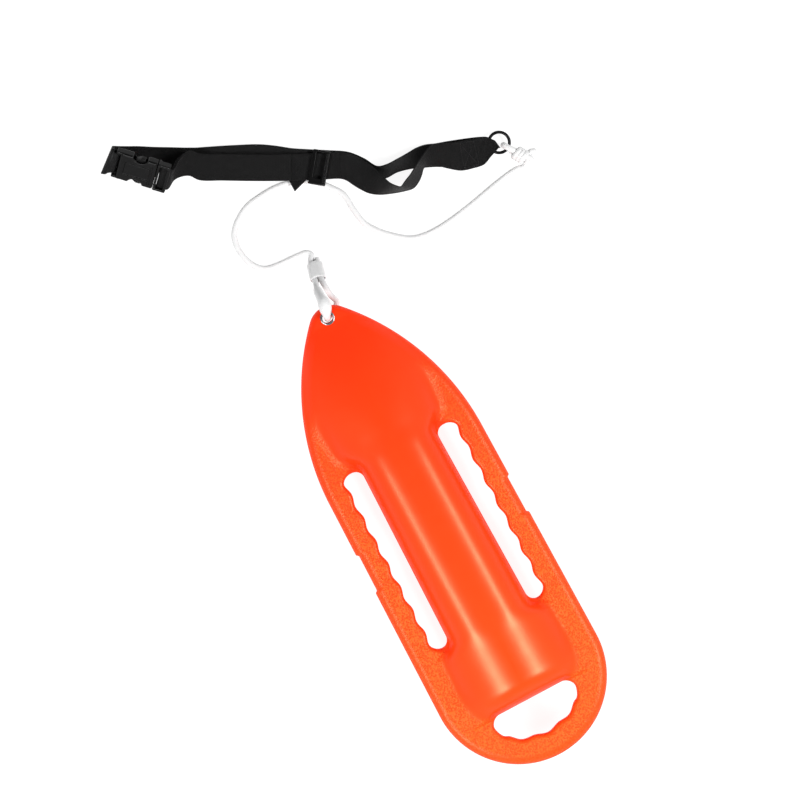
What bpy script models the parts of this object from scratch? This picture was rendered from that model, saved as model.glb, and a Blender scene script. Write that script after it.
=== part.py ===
"""Rescue can (rescue tube) with tow line and shoulder belt.

A hollow, foam filled plastic hull with three grab handles, a rope tow line
through an eyelet in its nose, and an adjustable webbing belt with a side
release buckle.  +Z up, +Y towards the nose, origin on the flat land of the
belly under the middle of the hull.  Dimensions are in millimetres unless a
comment says otherwise, and are scaled by MM as they enter Blender.
"""

import math

import bmesh
import bpy
from mathutils import Matrix, Vector

MM = 0.001

# ------------------------------------------------------------------ hull dimensions
NOSE_Y = 360.0
TAIL_Y = -360.0
NOSE_LENGTH = 256.4          # length of the ogive
NOSE_RADIUS = 357.8          # radius of the ogive's sides
NOSE_TIP_R = 34.1            # the blunt tip, tangent to the ogive
TIP_Y = 349.3                # where it meets the ogive
SHOULDER_HALF = 122.5        # half width where the ogive ends
SHOULDER_Y = NOSE_Y - NOSE_LENGTH
TAIL_R = 126.0               # half width at the tail, and its round end
TAIL_CENTRE_Y = TAIL_Y + TAIL_R
NOTCH_Y0, NOTCH_Y1, NOTCH_DEEP = -33.0, 24.0, 3.4   # shallow notch in each side
NOTCH_RAMP = 3.0

MID_Z = 70.0                 # height of the handle ring's middle plane
RING_HALF = 18.0             # half thickness of the handle ring
RING_EDGE = 5.0              # its bevelled edges

BODY_HALF = 70.0             # half height of the hull's body
BODY_BELOW = 73.0            # deeper below, cut off flat at z = 0
BODY_POWER = 2.6             # superellipse power of the sections beside the slots
BODY_POWER_WIDE = 1.85       # and of their upper half where the body is wide
BODY_REAR_Y, BODY_FRONT_Y = -256.0, 324.0
REAR_DROP_Y, FRONT_DROP_Y = -226.0, 100.0   # full height between these
# section places along Y, between the five at the rear and the two at the front
BODY_REAR_STEPS = (0.0, 1.6, 4.5, 9.0, 16.0)
BODY_STATIONS = (
    -226.0, -195.0, -165.0, -161.0, -157.5, -154.0, -150.0, -100.0, 0.0, 100.0, 135.0,
    140.0, 145.5, 151.0, 156.0, 175.0, 200.0, 225.0, 250.0, 272.0, 290.0, 305.0)
BODY_FRONT_STEP = 3.0

SLOT_Y0, SLOT_Y1 = -148.0, 132.0            # side handle slots
SLOT_IN_FRONT, SLOT_IN_REAR = 60.2, 64.5    # x of the inner edge at either end
SLOT_OUT = 89.6
SLOT_END_R = 13.5
FINGER_PITCH, FINGER_DEEP, FINGER_Y = 37.0, 1.85, 12.5
REAR_FRONT_Y, REAR_HALF, REAR_R = -269.5, 65.4, 89.0   # tail handle opening
REAR_CORNER = 17.0
REAR_SPREAD = math.radians(43.0)            # half angle of its rear arc
REAR_FINGER_DEEP = 1.7
CORNER_STEPS = 5

WALL = 3.0                   # shell wall of the body
RING_WALL = 4.0              # shell wall round the handles
FOAM_GAP = 0.6
INNER_FRONT_Y = 316.0        # the hollow stops short of the nose hole
INNER_BODY_FRONT_Y = INNER_FRONT_Y - 4.0

HOLE_Y = 343.0               # nose hole, on the centre line
HOLE_R = 9.0
GROMMET_OUT, GROMMET_IN, GROMMET_FLANGE, GROMMET_LIP = 8.7, 7.3, 11.5, 1.4
PORT_Y, PORT_R, PORT_HEAD_R = -341.0, 6.0, 9.5

# ------------------------------------------------------------------ line and belt dimensions
LAY_TURN = math.radians(28.1)  # the line and belt lie turned this far clockwise
ROPE_R = 4.5
ROPE_Z = 4.8
LOOP_R = 3.9                 # rope of the loop at the knot
JOINT_GAP = 1.6              # the line's pieces stop this far short of a bend
ROPE_STEP, EYE_STEP, LOOP_STEP = 0.010, 0.009, 0.004   # point spacing, metres
WEB = 1.5                    # webbing thickness
WEB_HALF = 19.0              # half its width
WEB_STEP = 0.004             # shortest piece between two stations, metres
BACK_Z = 1.05                # the belt's back run on the floor
BACK_HIGH_Z = 10.35          # and where it passes over the line
FRONT_Z = 14.05              # lower layer of the front run, which lies over the back one
RETURN_Z = 15.85             # its upper layer
RING_X, RING_Y, RING_Z = 245.0, 252.0, 10.85
RING_MAJOR, RING_WIRE = 14.75, 2.25
KNOT_X, KNOT_Y, KNOT_Z = 277.0, 233.0, 12.0

# side release buckle, in its own frame: x along it, y across, z through
BUCKLE_AT = (-246.0, 206.0, 23.4)
BUCKLE_TURN = math.radians(-17.0)
BUCKLE_ROLL = math.radians(40.0)
BUCKLE_HALF_W, BUCKLE_HALF_T = 24.0, 7.0
FEMALE_LENGTH = 54.0
BAR_HALF = 1.2
WRAP = BAR_HALF * math.sqrt(2.0) + 0.3 + WEB / 2   # webbing's radius round a bar
WRAP_45 = WRAP * math.sqrt(0.5)
FEMALE_BAR_X = -60.3
INNER_BAR_X, OUTER_BAR_X = 7.8, 17.2
OUTER_BAR_HALF = 1.9
BARB_Y = 23.3

SLIDER_X, SLIDER_Y = -12.0, 217.0
SLIDER_LEAN = math.radians(-12.0)
GLIDE_HALF_L, GLIDE_HALF_W = 12.5, 26.2   # along and across the strap
FRONT_SLOPE = 0.04           # how the front run slants across the lay

# ------------------------------------------------------------------ scene
for old in list(bpy.data.objects):
    bpy.data.objects.remove(old, do_unlink=True)

PARTS = bpy.data.collections.new("rescue_can")
CUTTERS = bpy.data.collections.new("cutters")
for group in (PARTS, CUTTERS):
    bpy.context.scene.collection.children.link(group)


def material(name, colour, roughness, metallic=0.0):
    made = bpy.data.materials.new(name)
    made.use_nodes = True
    shader = made.node_tree.nodes["Principled BSDF"]
    shader.inputs["Base Color"].default_value = colour
    shader.inputs["Roughness"].default_value = roughness
    shader.inputs["Metallic"].default_value = metallic
    made.diffuse_color = colour
    return made


BLACK = (0.012, 0.012, 0.012, 1.0)
BLACK_PLASTIC = (0.02, 0.02, 0.021, 1.0)

HULL_MAT = material("hull_plastic", (1.0, 0.10, 0.012, 1.0), roughness=0.35)
FOAM_MAT = material("foam", (0.93, 0.86, 0.62, 1.0), roughness=0.95)
PLUG_MAT = material("plug_plastic", (0.95, 0.07, 0.01, 1.0), roughness=0.4)
SEAL_MAT = material("seal_rubber", BLACK, roughness=0.7)
STEEL_MAT = material("steel", (0.72, 0.72, 0.72, 1.0), roughness=0.3, metallic=1.0)
ROPE_MAT = material("rope", (0.86, 0.86, 0.84, 1.0), roughness=0.8)
WEB_MAT = material("webbing", BLACK, roughness=0.85)
BUCKLE_MAT = material("buckle_plastic", BLACK_PLASTIC, roughness=0.35)
RING_MAT = material("ring_steel", BLACK_PLASTIC, roughness=0.3, metallic=0.6)


# ------------------------------------------------------------------ object helpers
def adopt(obj, mat=None, cutter=False):
    """Moves an object to the parts, or to the hidden cutters."""
    for current in list(obj.users_collection):
        current.objects.unlink(obj)
    (CUTTERS if cutter else PARTS).objects.link(obj)
    if mat:
        obj.data.materials.append(mat)
    if cutter:
        obj.hide_render = True
        obj.display_type = "WIRE"
    return obj


def empty(name, location, euler=(0.0, 0.0, 0.0), quaternion=None):
    """A pivot; its location is in metres."""
    pivot = bpy.data.objects.new(name, None)
    pivot.empty_display_size = 0.02
    PARTS.objects.link(pivot)
    pivot.location = location
    pivot.rotation_euler = euler
    if quaternion:
        pivot.rotation_mode = "QUATERNION"
        pivot.rotation_quaternion = quaternion
    bpy.context.view_layer.update()
    return pivot


def keep_place(obj, parent):
    """Parents an object to an empty without moving it."""
    bpy.context.view_layer.update()
    obj.parent = parent
    obj.matrix_parent_inverse = parent.matrix_world.inverted()


def boolean(obj, other, operation):
    mod = obj.modifiers.new(operation.lower() + "_" + other.name, "BOOLEAN")
    mod.operation = operation
    mod.solver = "EXACT"
    mod.object = other


def add_mesh(name, bm, mat=None, cutter=False):
    bmesh.ops.recalc_face_normals(bm, faces=bm.faces)
    mesh = bpy.data.meshes.new(name)
    bm.to_mesh(mesh)
    bm.free()
    return adopt(bpy.data.objects.new(name, mesh), mat, cutter)


def curve_to_mesh(obj, name, mat=None, cutter=False):
    """A mesh of a curve object, with its caps welded on.

    The curve is removed last, so a mesh that shares its name gets the suffix .001.
    """
    bpy.context.view_layer.update()
    graph = bpy.context.evaluated_depsgraph_get()
    mesh = bpy.data.meshes.new_from_object(obj.evaluated_get(graph))
    bm = bmesh.new()
    bm.from_mesh(mesh)
    bmesh.ops.remove_doubles(bm, verts=bm.verts, dist=1e-6)
    bmesh.ops.recalc_face_normals(bm, faces=bm.faces)
    bm.to_mesh(mesh)
    bm.free()
    mesh.name = name
    new = bpy.data.objects.new(name, mesh)
    new.matrix_world = obj.matrix_world.copy()
    bpy.data.objects.remove(obj, do_unlink=True)
    return adopt(new, mat, cutter)


def poly_curve(name, dimensions, loops, cyclic):
    """A curve object of straight-sided splines, its points in metres."""
    data = bpy.data.curves.new(name, "CURVE")
    data.dimensions = dimensions
    for points in loops:
        spline = data.splines.new("POLY")
        spline.points.add(len(points) - 1)
        for spline_point, place in zip(spline.points, points):
            spline_point.co = (*place, 1.0)
        spline.use_cyclic_u = cyclic
    return adopt(bpy.data.objects.new(name, data))


def flat_outline(name, loops, half, bevel=0.0, z=0.0):
    """A filled 2D curve: closed loops of (x, y), holes inside, half thick each way."""
    placed = [[(x * MM, y * MM, 0.0) for x, y in points] for points in loops]
    obj = poly_curve(name, "2D", placed, cyclic=True)
    obj.data.fill_mode = "BOTH"
    obj.data.extrude = (half - bevel) * MM
    obj.data.bevel_depth = bevel * MM
    obj.data.bevel_resolution = 0
    obj.data.offset = -bevel * MM
    obj.location = (0.0, 0.0, z * MM)
    return obj


def rope(name, points, radius, mat=None):
    """A capped round rope along points in metres."""
    obj = poly_curve(name, "3D", [points], cyclic=False)
    obj.data.bevel_depth = radius * MM
    obj.data.bevel_resolution = 1
    obj.data.use_fill_caps = True
    obj.data.twist_mode = "MINIMUM"
    if mat:
        obj.data.materials.append(mat)
    return obj


def primitive(name, add, mat=None, cutter=False, parent=None, **settings):
    """An object made by one of Blender's primitive operators."""
    add(**settings)
    obj = bpy.context.object
    obj.name = name
    obj.data.name = name
    obj.parent = parent
    return adopt(obj, mat, cutter)


def box(name, low, high, mat=None, cutter=False, parent=None, bevel=0.0):
    """A box from corner to corner, in its parent's frame."""
    obj = primitive(name, bpy.ops.mesh.primitive_cube_add, mat, cutter, parent, size=1.0)
    size = [(h - l) * MM for l, h in zip(low, high)]
    middle = [(h + l) * 0.5 * MM for l, h in zip(low, high)]
    obj.data.transform(Matrix.Diagonal((*size, 1.0)))
    obj.data.transform(Matrix.Translation(middle))
    if bevel:
        mod = obj.modifiers.new("edges", "BEVEL")
        mod.width = bevel * MM
        mod.segments = 1
        mod.limit_method = "ANGLE"
    return obj


def drill(name, radius, z0, z1, at, parent=None, sides=32):
    """An upright cylinder to cut with."""
    obj = primitive(name, bpy.ops.mesh.primitive_cylinder_add, None, True, parent,
                    vertices=sides, radius=radius * MM, depth=(z1 - z0) * MM)
    obj.location = (at[0] * MM, at[1] * MM, (z0 + z1) * 0.5 * MM)
    return obj


def turned(name, profile, mat, at):
    """A closed profile of (radius, height) turned about a vertical axis."""
    bm = bmesh.new()
    verts = [bm.verts.new((r * MM, 0.0, z * MM)) for r, z in profile]
    for start, end in zip(verts, verts[1:] + verts[:1]):
        bm.edges.new((start, end))
    mesh = bpy.data.meshes.new(name)
    bm.to_mesh(mesh)
    bm.free()
    obj = adopt(bpy.data.objects.new(name, mesh), mat)
    obj.location = [value * MM for value in at]
    mod = obj.modifiers.new("turn", "SCREW")
    mod.angle = math.tau
    mod.steps = 20
    mod.render_steps = 20
    mod.use_merge_vertices = True
    mod.merge_threshold = 0.00001
    mod.use_smooth_shade = True
    return obj


# ------------------------------------------------------------------ hull outlines
def outline_half(y, inset=0.0):
    """Half width of the hull's outline at y, ahead of the round tail."""
    run = y - SHOULDER_Y
    if run > 0.0:
        side = SHOULDER_HALF - NOSE_RADIUS + math.sqrt(NOSE_RADIUS ** 2 - run * run)
    else:
        taper = -run / (SHOULDER_Y - TAIL_CENTRE_Y)
        side = SHOULDER_HALF + (TAIL_R - SHOULDER_HALF) * taper
    half = side - inset
    if y > TIP_Y:
        tip = NOSE_TIP_R - inset
        depth = NOSE_Y - inset - y
        half = min(half, math.sqrt(depth * (2.0 * tip - depth)))
    return half


def outline_points(inset, front):
    """The hull's outline, anticlockwise, from the nose down the left side.

    With no front it has the round nose and side notches; otherwise it is
    coarser, plain sided and cut off square at that y.
    """
    if front is None:
        reach = NOSE_TIP_R * 0.62
        ys = [NOSE_Y - reach * (1.0 - math.cos(math.pi / 2 * i / 8)) for i in range(8)]
        start = ys[-1] - 12.0
        side_steps, tail_steps = 14, 18
    else:
        ys = [front]
        start = front - 14.0
        side_steps, tail_steps = 7, 9
    ys += [start + (104.0 - start) * (i / side_steps) for i in range(side_steps + 1)]
    if front is None:
        ys += [NOTCH_Y1 + NOTCH_RAMP, NOTCH_Y1, NOTCH_Y0, NOTCH_Y0 - NOTCH_RAMP]
    ys += [-150.0, TAIL_CENTRE_Y]

    right = []
    for y in ys:
        half = outline_half(y, inset)
        if front is None and NOTCH_Y0 <= y <= NOTCH_Y1:
            half -= NOTCH_DEEP
        right.append((half, y))
    radius = TAIL_R - inset
    for i in range(1, tail_steps + 1):
        angle = math.pi / 2 * i / tail_steps
        right.append((radius * math.cos(angle), TAIL_CENTRE_Y - radius * math.sin(angle)))
    # points on the centre line are not mirrored
    left = [(-x, y) for x, y in reversed(right) if x > 1e-6]
    return (right + left)[::-1]


def corner(x, y, radius, start, steps):
    """Points of a quarter circle, clockwise from the start angle."""
    angles = [start - math.pi / 2 * i / CORNER_STEPS for i in steps]
    return [(x + radius * math.cos(a), y + radius * math.sin(a)) for a in angles]


def slot_inner(y):
    """x of the side slots' straight inner edge."""
    share = (SLOT_Y1 - y) / (SLOT_Y1 - SLOT_Y0)
    return SLOT_IN_FRONT + (SLOT_IN_REAR - SLOT_IN_FRONT) * share


def slot_points(side, grow, fingers):
    """One side handle's slot: straight inside, finger grips outside."""
    radius = SLOT_END_R + grow
    top, bottom = SLOT_Y1 + grow - radius, SLOT_Y0 - grow + radius

    def inner_x(y):
        return slot_inner(y) - grow + radius

    def outer(y):
        angle = math.tau * (y - FINGER_Y) / FINGER_PITCH
        wave = FINGER_DEEP * math.cos(angle) if fingers else 0.0
        return SLOT_OUT + grow + wave

    first, last = range(CORNER_STEPS), range(1, CORNER_STEPS + 1)
    points = corner(inner_x(SLOT_Y1 + grow), top, radius, math.pi, first)
    points += corner(outer(top) - radius, top, radius, math.pi / 2, first)
    steps = 30 if fingers else 3
    for i in range(steps + 1):
        y = top + (bottom - top) * i / steps
        points.append((outer(y), y))
    points += corner(outer(bottom) - radius, bottom, radius, 0.0, last)
    points += corner(inner_x(SLOT_Y0 - grow), bottom, radius, -math.pi / 2, last)
    return [(side * x, y) for x, y in (points if side > 0 else points[::-1])]


def rear_points(grow, fingers):
    """The tail handle's opening: straight in front, an arc with grips behind."""
    radius = REAR_CORNER + grow
    corner_x = REAR_HALF + grow - radius
    corner_y = REAR_FRONT_Y + grow - radius
    all_steps = range(CORNER_STEPS + 1)
    points = corner(corner_x, corner_y, radius, math.pi / 2, all_steps)
    # the rear edge is an arc about the centre of the round tail
    steps = 26 if fingers else 8
    for i in range(steps + 1):
        angle = REAR_SPREAD - 2.0 * REAR_SPREAD * i / steps
        ripple = math.cos(angle / REAR_SPREAD * math.pi * 3.5)
        reach = REAR_R + grow + (REAR_FINGER_DEEP * ripple if fingers else 0.0)
        points.append((reach * math.sin(angle), TAIL_CENTRE_Y - reach * math.cos(angle)))
    return points + corner(-corner_x, corner_y, radius, math.pi, all_steps)


def ring_plate(name, inset=0.0, wall=0.0, front=None, mat=None, cutter=False):
    """The handle ring; without a front it is the outer shape with grips and edges."""
    outer = front is None
    loops = [outline_points(inset, front), slot_points(1, inset, outer),
             slot_points(-1, inset, outer), rear_points(inset, outer)]
    obj = flat_outline(name + "_outline", loops, RING_HALF - wall,
                       RING_EDGE if outer else 0.0, MID_Z)
    return curve_to_mesh(obj, name, mat, cutter)


# ------------------------------------------------------------------ hull body
def body_blend(y):
    """0 beside the slots, 1 where the body is wide."""
    blend = 0.0
    if y > SLOT_Y1 + 3.0:
        blend = min(1.0, (y - SLOT_Y1 - 3.0) / 21.0)
    elif y < SLOT_Y0 - 2.0:
        blend = min(1.0, (SLOT_Y0 - 2.0 - y) / 15.0)
    return blend * blend * (3.0 - 2.0 * blend)


def body_half_width(y):
    """Half width of the raised body: waisted at the slots, wide ahead and behind."""
    waist = slot_inner(y) - 0.7
    if y > 0.0:
        wide = min(79.0 + 0.165 * (y - 154.0), outline_half(y) - 1.2)
    else:
        wide = 85.0 - 0.05 * (y + 160.0)
    return waist + (wide - waist) * body_blend(y)


def body_height(y):
    """How far the body rises from the middle plane, as a share of its full height."""
    if y > FRONT_DROP_Y:
        run = (y - FRONT_DROP_Y) / (BODY_FRONT_Y + 1.0 - FRONT_DROP_Y)
        return math.sqrt(1.0 - run * run)
    if y < REAR_DROP_Y:
        run = (REAR_DROP_Y - y) / (REAR_DROP_Y - BODY_REAR_Y + 3.0)
        return (1.0 - run ** 3.2) ** (1 / 2.4)
    return 1.0


def signed_power(value, power):
    return math.copysign(abs(value) ** power, value)


def body_loft(name, count, inset=0.0, gap=0.0, front=BODY_FRONT_Y):
    """The body as a loft through superellipse sections along Y, smaller by gap all round."""
    rear = BODY_REAR_Y + inset
    stations = [rear + step for step in BODY_REAR_STEPS]
    stations += [*BODY_STATIONS, front - BODY_FRONT_STEP, front]
    bm = bmesh.new()
    rings = []
    for y in stations:
        share = body_height(y)
        blend = body_blend(y)
        rear_share = max(0.0, (rear + 14.0 - y) / 14.0)
        half_width = body_half_width(y) - inset - 9.0 * rear_share ** 2.5 - gap
        up = BODY_HALF * share - inset - gap
        down = BODY_BELOW * share - inset - gap
        place = y + gap if y == rear else y - gap if y == front else y
        ring = []
        for k in range(count):
            angle = math.tau * k / count
            across, rise = math.cos(angle), math.sin(angle)
            above = rise > 0
            power = BODY_POWER + (BODY_POWER_WIDE - BODY_POWER) * (blend if above else 0.0)
            x = half_width * signed_power(across, 2.0 / power)
            z = (up if above else down) * signed_power(rise, 2.0 / power)
            z = max(z, -BODY_HALF + inset + gap)
            ring.append(bm.verts.new((x * MM, place * MM, (MID_Z + z) * MM)))
        rings.append(ring)
    for this, following in zip(rings, rings[1:]):
        for k in range(count):
            n = (k + 1) % count
            bm.faces.new((this[k], this[n], following[n]))
            bm.faces.new((this[k], following[n], following[k]))
    bm.faces.new(rings[0][::-1])
    bm.faces.new(rings[-1])
    return add_mesh(name, bm, cutter=True)


def build_hull(can):
    """The plastic shell: ring and body less the hollow, the nose hole and the port."""
    hull = ring_plate("hull_shell", mat=HULL_MAT)
    boolean(hull, body_loft("hull_body_form", 24), "UNION")

    hollow = ring_plate("hull_hollow", RING_WALL, WALL, INNER_FRONT_Y, cutter=True)
    hollow_body = body_loft("hull_hollow_body", 20, inset=WALL, front=INNER_BODY_FRONT_Y)
    boolean(hollow, hollow_body, "UNION")
    boolean(hull, hollow, "DIFFERENCE")

    below = MID_Z - RING_HALF
    boolean(hull, drill("nose_hole", HOLE_R, 30.0, 110.0, (0.0, HOLE_Y)), "DIFFERENCE")
    port = drill("fill_port", PORT_R, below - 2.0, below + 6.0, (0.0, PORT_Y), sides=24)
    boolean(hull, port, "DIFFERENCE")
    keep_place(hull, can)


def build_foam(can):
    core = ring_plate("foam_core", RING_WALL + FOAM_GAP, WALL + FOAM_GAP,
                      INNER_FRONT_Y - FOAM_GAP, mat=FOAM_MAT)
    core_body = body_loft("foam_core_body", 20, inset=WALL, gap=FOAM_GAP,
                          front=INNER_BODY_FRONT_Y)
    boolean(core, core_body, "UNION")
    keep_place(core, can)


def build_plug(can):
    """Filling plug and its seal, under the tail handle."""
    at = (0.0, PORT_Y, MID_Z - RING_HALF)
    stem_r = PORT_R - 0.3
    plug = [(0.0, 2.6), (stem_r, 2.6), (stem_r, -1.9), (PORT_HEAD_R, -1.9),
            (PORT_HEAD_R, -4.4), (0.0, -4.4)]
    keep_place(turned("fill_plug", plug, PLUG_MAT, at), can)
    seal_in, seal_out = PORT_R + 0.2, PORT_HEAD_R - 0.4
    seal = [(seal_in, -0.3), (seal_out, -0.3), (seal_out, -1.6), (seal_in, -1.6)]
    keep_place(turned("plug_seal", seal, SEAL_MAT, at), can)


def build_grommets(can):
    """The two flanged halves of the nose eyelet."""
    edge = RING_HALF + 0.3
    half = [(GROMMET_IN, 0.3), (GROMMET_OUT, 0.3), (GROMMET_OUT, edge),
            (GROMMET_FLANGE, edge), (GROMMET_FLANGE, edge + GROMMET_LIP * 0.6),
            (GROMMET_FLANGE - 0.8, edge + GROMMET_LIP),
            (GROMMET_IN + 0.7, edge + GROMMET_LIP), (GROMMET_IN, edge + GROMMET_LIP * 0.5)]
    mirrored = [(r, -z) for r, z in half]
    # the upper one runs the other way round so that both face outwards
    for name, profile in (("nose_grommet_upper", half[::-1]),
                          ("nose_grommet_lower", mirrored)):
        keep_place(turned(name, profile, STEEL_MAT, (0.0, HOLE_Y, MID_Z)), can)


# ------------------------------------------------------------------ laying out
COS, SIN = math.cos(LAY_TURN), math.sin(LAY_TURN)


def lay(x, y, z=0.0):
    """A point of the line and belt's own frame, whose origin is the nose hole."""
    return Vector(((COS * x + SIN * y) * MM, (HOLE_Y - SIN * x + COS * y) * MM, z * MM))


def on_floor(x, y, lift=0.0):
    """A point of the rope's centre line where it lies on the floor."""
    return lay(x, y, ROPE_Z + lift)


def catmull_rom(points, i, t):
    """The curve's point at t from point i to the next."""
    b, c = points[i], points[i + 1]
    a = points[i - 1] if i else b * 2 - c
    d = points[i + 2] if i + 2 < len(points) else c * 2 - b
    return 0.5 * ((2 * b) + (c - a) * t + (2 * a - 5 * b + 4 * c - d) * t * t
                  + (3 * b - a - 3 * c + d) * t ** 3)


def smooth(points, step):
    """Points every step metres along a Catmull-Rom curve through the given ones."""
    out = []
    for i in range(len(points) - 1):
        parts = max(1, round((points[i + 1] - points[i]).length / step))
        out += [catmull_rom(points, i, j / parts) for j in range(parts)]
    out.append(points[-1])
    return out


def trim(points, start, end):
    """Takes a length in metres off each end of a polyline."""
    pts = [Vector(p) for p in points]
    for left in (start, end):
        while left > 0 and (pts[1] - pts[0]).length <= left:
            left -= (pts[1] - pts[0]).length
            pts.pop(0)
        if left > 0:
            pts[0] = pts[0].lerp(pts[1], left / (pts[1] - pts[0]).length)
        pts.reverse()
    return pts


def ribbon(name, stations, parts):
    """Webbing: a thin closed strip between two edge curves given station by station."""
    firsts = [first for first, second in stations]
    seconds = [second for first, second in stations]
    rows = []
    for i in range(len(stations) - 1):
        span = ((firsts[i + 1] + seconds[i + 1]) - (firsts[i] + seconds[i])).length / 2
        count = max(1, min(parts, round(span / WEB_STEP)))
        for j in range(count):
            t = j / count
            rows.append((catmull_rom(firsts, i, t), catmull_rom(seconds, i, t)))
    rows.append((firsts[-1], seconds[-1]))

    bm = bmesh.new()
    rings = []
    for i, (p, q) in enumerate(rows):
        up = strip_normal(rows, i) * WEB * MM / 2
        rings.append([bm.verts.new(v) for v in (p + up, q + up, q - up, p - up)])
    for a, b in zip(rings, rings[1:]):
        for k in range(4):
            n = (k + 1) % 4
            # both faces, and both layers of a doubled strap, fold along the same diagonal
            forward = a[0].co.x + a[1].co.x > b[0].co.x + b[1].co.x
            if forward == (k == 0):
                bm.faces.new((a[k], a[n], b[n]))
                bm.faces.new((a[k], b[n], b[k]))
            else:
                bm.faces.new((a[k], a[n], b[k]))
                bm.faces.new((a[n], b[n], b[k]))
    bm.faces.new(rings[0])
    bm.faces.new(rings[-1][::-1])
    return add_mesh(name, bm, WEB_MAT)


def strip_normal(rows, i):
    """The unit normal at row i of a strip given as pairs of edge points."""
    first, second = rows[i]
    before, after = rows[max(i - 1, 0)], rows[min(i + 1, len(rows) - 1)]
    along = (after[0] + after[1]) - (before[0] + before[1])
    return along.cross(second - first).normalized()


# ------------------------------------------------------------------ eye of the tow line
EYE_DIRECTION = (-0.235, 0.972)   # from the nose hole towards the splice, in the lay

# (distance from the nose hole, sideways, height); without a height the point
# is on the slope of the doubled line
EYE_LOWER_LEG = (
    (84, 4.75, 11.5), (70, 4.75), (56, 4.75), (46, 7, 45.0), (34, 11, 45.0),
    (22, 12.5, 43.5), (10, 8, 42), (2.5, 2.2, 43), (0, 0, 49))
EYE_UPPER_LEG = (
    (0, 0, 60), (0, 0, 80), (0.5, 0, 91), (4.5, 0, 96.5), (12, -0.5, 97.6),
    (21, -1.5, 95), (31, -3, 83), (42, -4.4, 61), (49, -4.75), (56, -4.75),
    (70, -4.75), (84, -4.75))
# (x, y, lift) on the floor, from the splice to the first bend
EYE_FLOOR = (
    (-24, 92, 1.4), (-31, 94), (-40, 91), (-53, 85), (-66, 79), (-78, 74), (-89, 71.5))

SLEEVE_STATIONS = (57.0, 63.0, 69.0, 75.0, 80.5)   # distances from the nose hole
SLEEVE_SIDES = 20
# half width and half height of the sleeve's ovals
SLEEVE_END, SLEEVE_OUTER, SLEEVE_INNER = (10.9, 6.2), (11.6, 6.8), (10.5, 5.8)


def on_eye(distance, side, z=None):
    """A point of the eye at a distance from the nose hole, towards the splice."""
    ux, uy = EYE_DIRECTION
    if z is None:
        z = 40.0 - 1.018 * (distance - 56.0)
    return lay(ux * distance + uy * side, uy * distance - ux * side, z)


def build_eye(nose_swing, bend):
    points = [on_eye(*row) for row in EYE_LOWER_LEG + EYE_UPPER_LEG]
    points += [on_floor(*row) for row in EYE_FLOOR] + [bend]
    path = trim(smooth(points, EYE_STEP), 0.0, JOINT_GAP * MM)
    keep_place(rope("tow_line_eye", path, ROPE_R, ROPE_MAT), nose_swing)


def build_sleeve(nose_swing):
    """The splice sleeve: an oval tube round both legs of the eye."""
    bm = bmesh.new()
    axis = [on_eye(distance, 0) for distance in SLEEVE_STATIONS]
    across = (on_eye(0, 1, 0) - on_eye(0, 0, 0)).normalized()
    last = len(axis) - 1

    def oval(centre, up, half_width, half_height):
        ring = []
        for k in range(SLEEVE_SIDES):
            angle = math.tau * k / SLEEVE_SIDES
            ring.append(bm.verts.new(centre + across * (half_width * MM * math.cos(angle))
                                     + up * (half_height * MM * math.sin(angle))))
        return ring

    outer, inner = [], []
    for i, centre in enumerate(axis):
        along = (axis[min(i + 1, last)] - axis[max(i - 1, 0)]).normalized()
        up = along.cross(across).normalized()
        outer.append(oval(centre, up, *(SLEEVE_END if i in (0, last) else SLEEVE_OUTER)))
        inner.append(oval(centre, up, *SLEEVE_INNER))
    joined = [*zip(outer, outer[1:]), *zip(inner, inner[1:]),
              (outer[0], inner[0]), (outer[-1], inner[-1])]
    for a, b in joined:
        for k in range(SLEEVE_SIDES):
            n = (k + 1) % SLEEVE_SIDES
            bm.faces.new((a[k], a[n], b[n], b[k]))
    sleeve = add_mesh("splice_sleeve", bm, ROPE_MAT)
    sleeve.data.shade_smooth()
    keep_place(sleeve, nose_swing)


# ------------------------------------------------------------------ tow line on the floor
LINE_BENDS = ((-99, 73), (-129, 140), (22, 178), (155, 127))
# (x, y, lift) after each bend and before the next; the last run ends in the knot
LINE_RUNS = {
    "tow_line_a": ((-112, 80), (-122, 90), (-130, 103), (-134, 117), (-133, 129)),
    "tow_line_b": ((-116, 160), (-98, 174), (-78, 186), (-56, 194), (-33, 197), (-12, 194),
                   (6, 187)),
    "tow_line_c": ((36, 157), (51, 138), (69, 127), (93, 119), (120, 115), (138, 119)),
    "tow_line_d": ((177, 141), (207, 164), (233, 186), (259, 207, 0.6), (272, 219, 3.0)),
}


def build_line_runs(bends, pivots):
    """Lays the four runs and returns the smooth path of the last one."""
    for i, (name, between) in enumerate(LINE_RUNS.items()):
        points = [bends[i]] + [on_floor(*row) for row in between] + bends[i + 1:i + 2]
        path = smooth(points, ROPE_STEP)
        end_gap = JOINT_GAP * MM if i + 1 < len(bends) else 0.0
        run = rope(name, trim(path, JOINT_GAP * MM, end_gap), ROPE_R, ROPE_MAT)
        keep_place(run, pivots[i])
    return path


# ------------------------------------------------------------------ knot and belt ring
KNOT = lay(KNOT_X, KNOT_Y, KNOT_Z)
TO_KNOT = (KNOT - lay(RING_X, RING_Y, KNOT_Z)).normalized()
# where the loop crosses the ring's wire, at floor level
CROSSING = lay(RING_X, RING_Y, 0.0) + TO_KNOT * RING_MAJOR * MM
# the loop's path: (distance from the crossing towards the knot, height)
LOOP_PATH = (
    (15, 14.2), (7, 17.2), (0, 17.5), (-5.2, 15.4), (-7.2, RING_Z), (-5.2, 6.2), (0, 4.3),
    (7, 4.5), (15, 7.4))
KNOT_HALF_SIZES = (0.0155, 0.0115, 0.0112)   # metres


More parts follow.
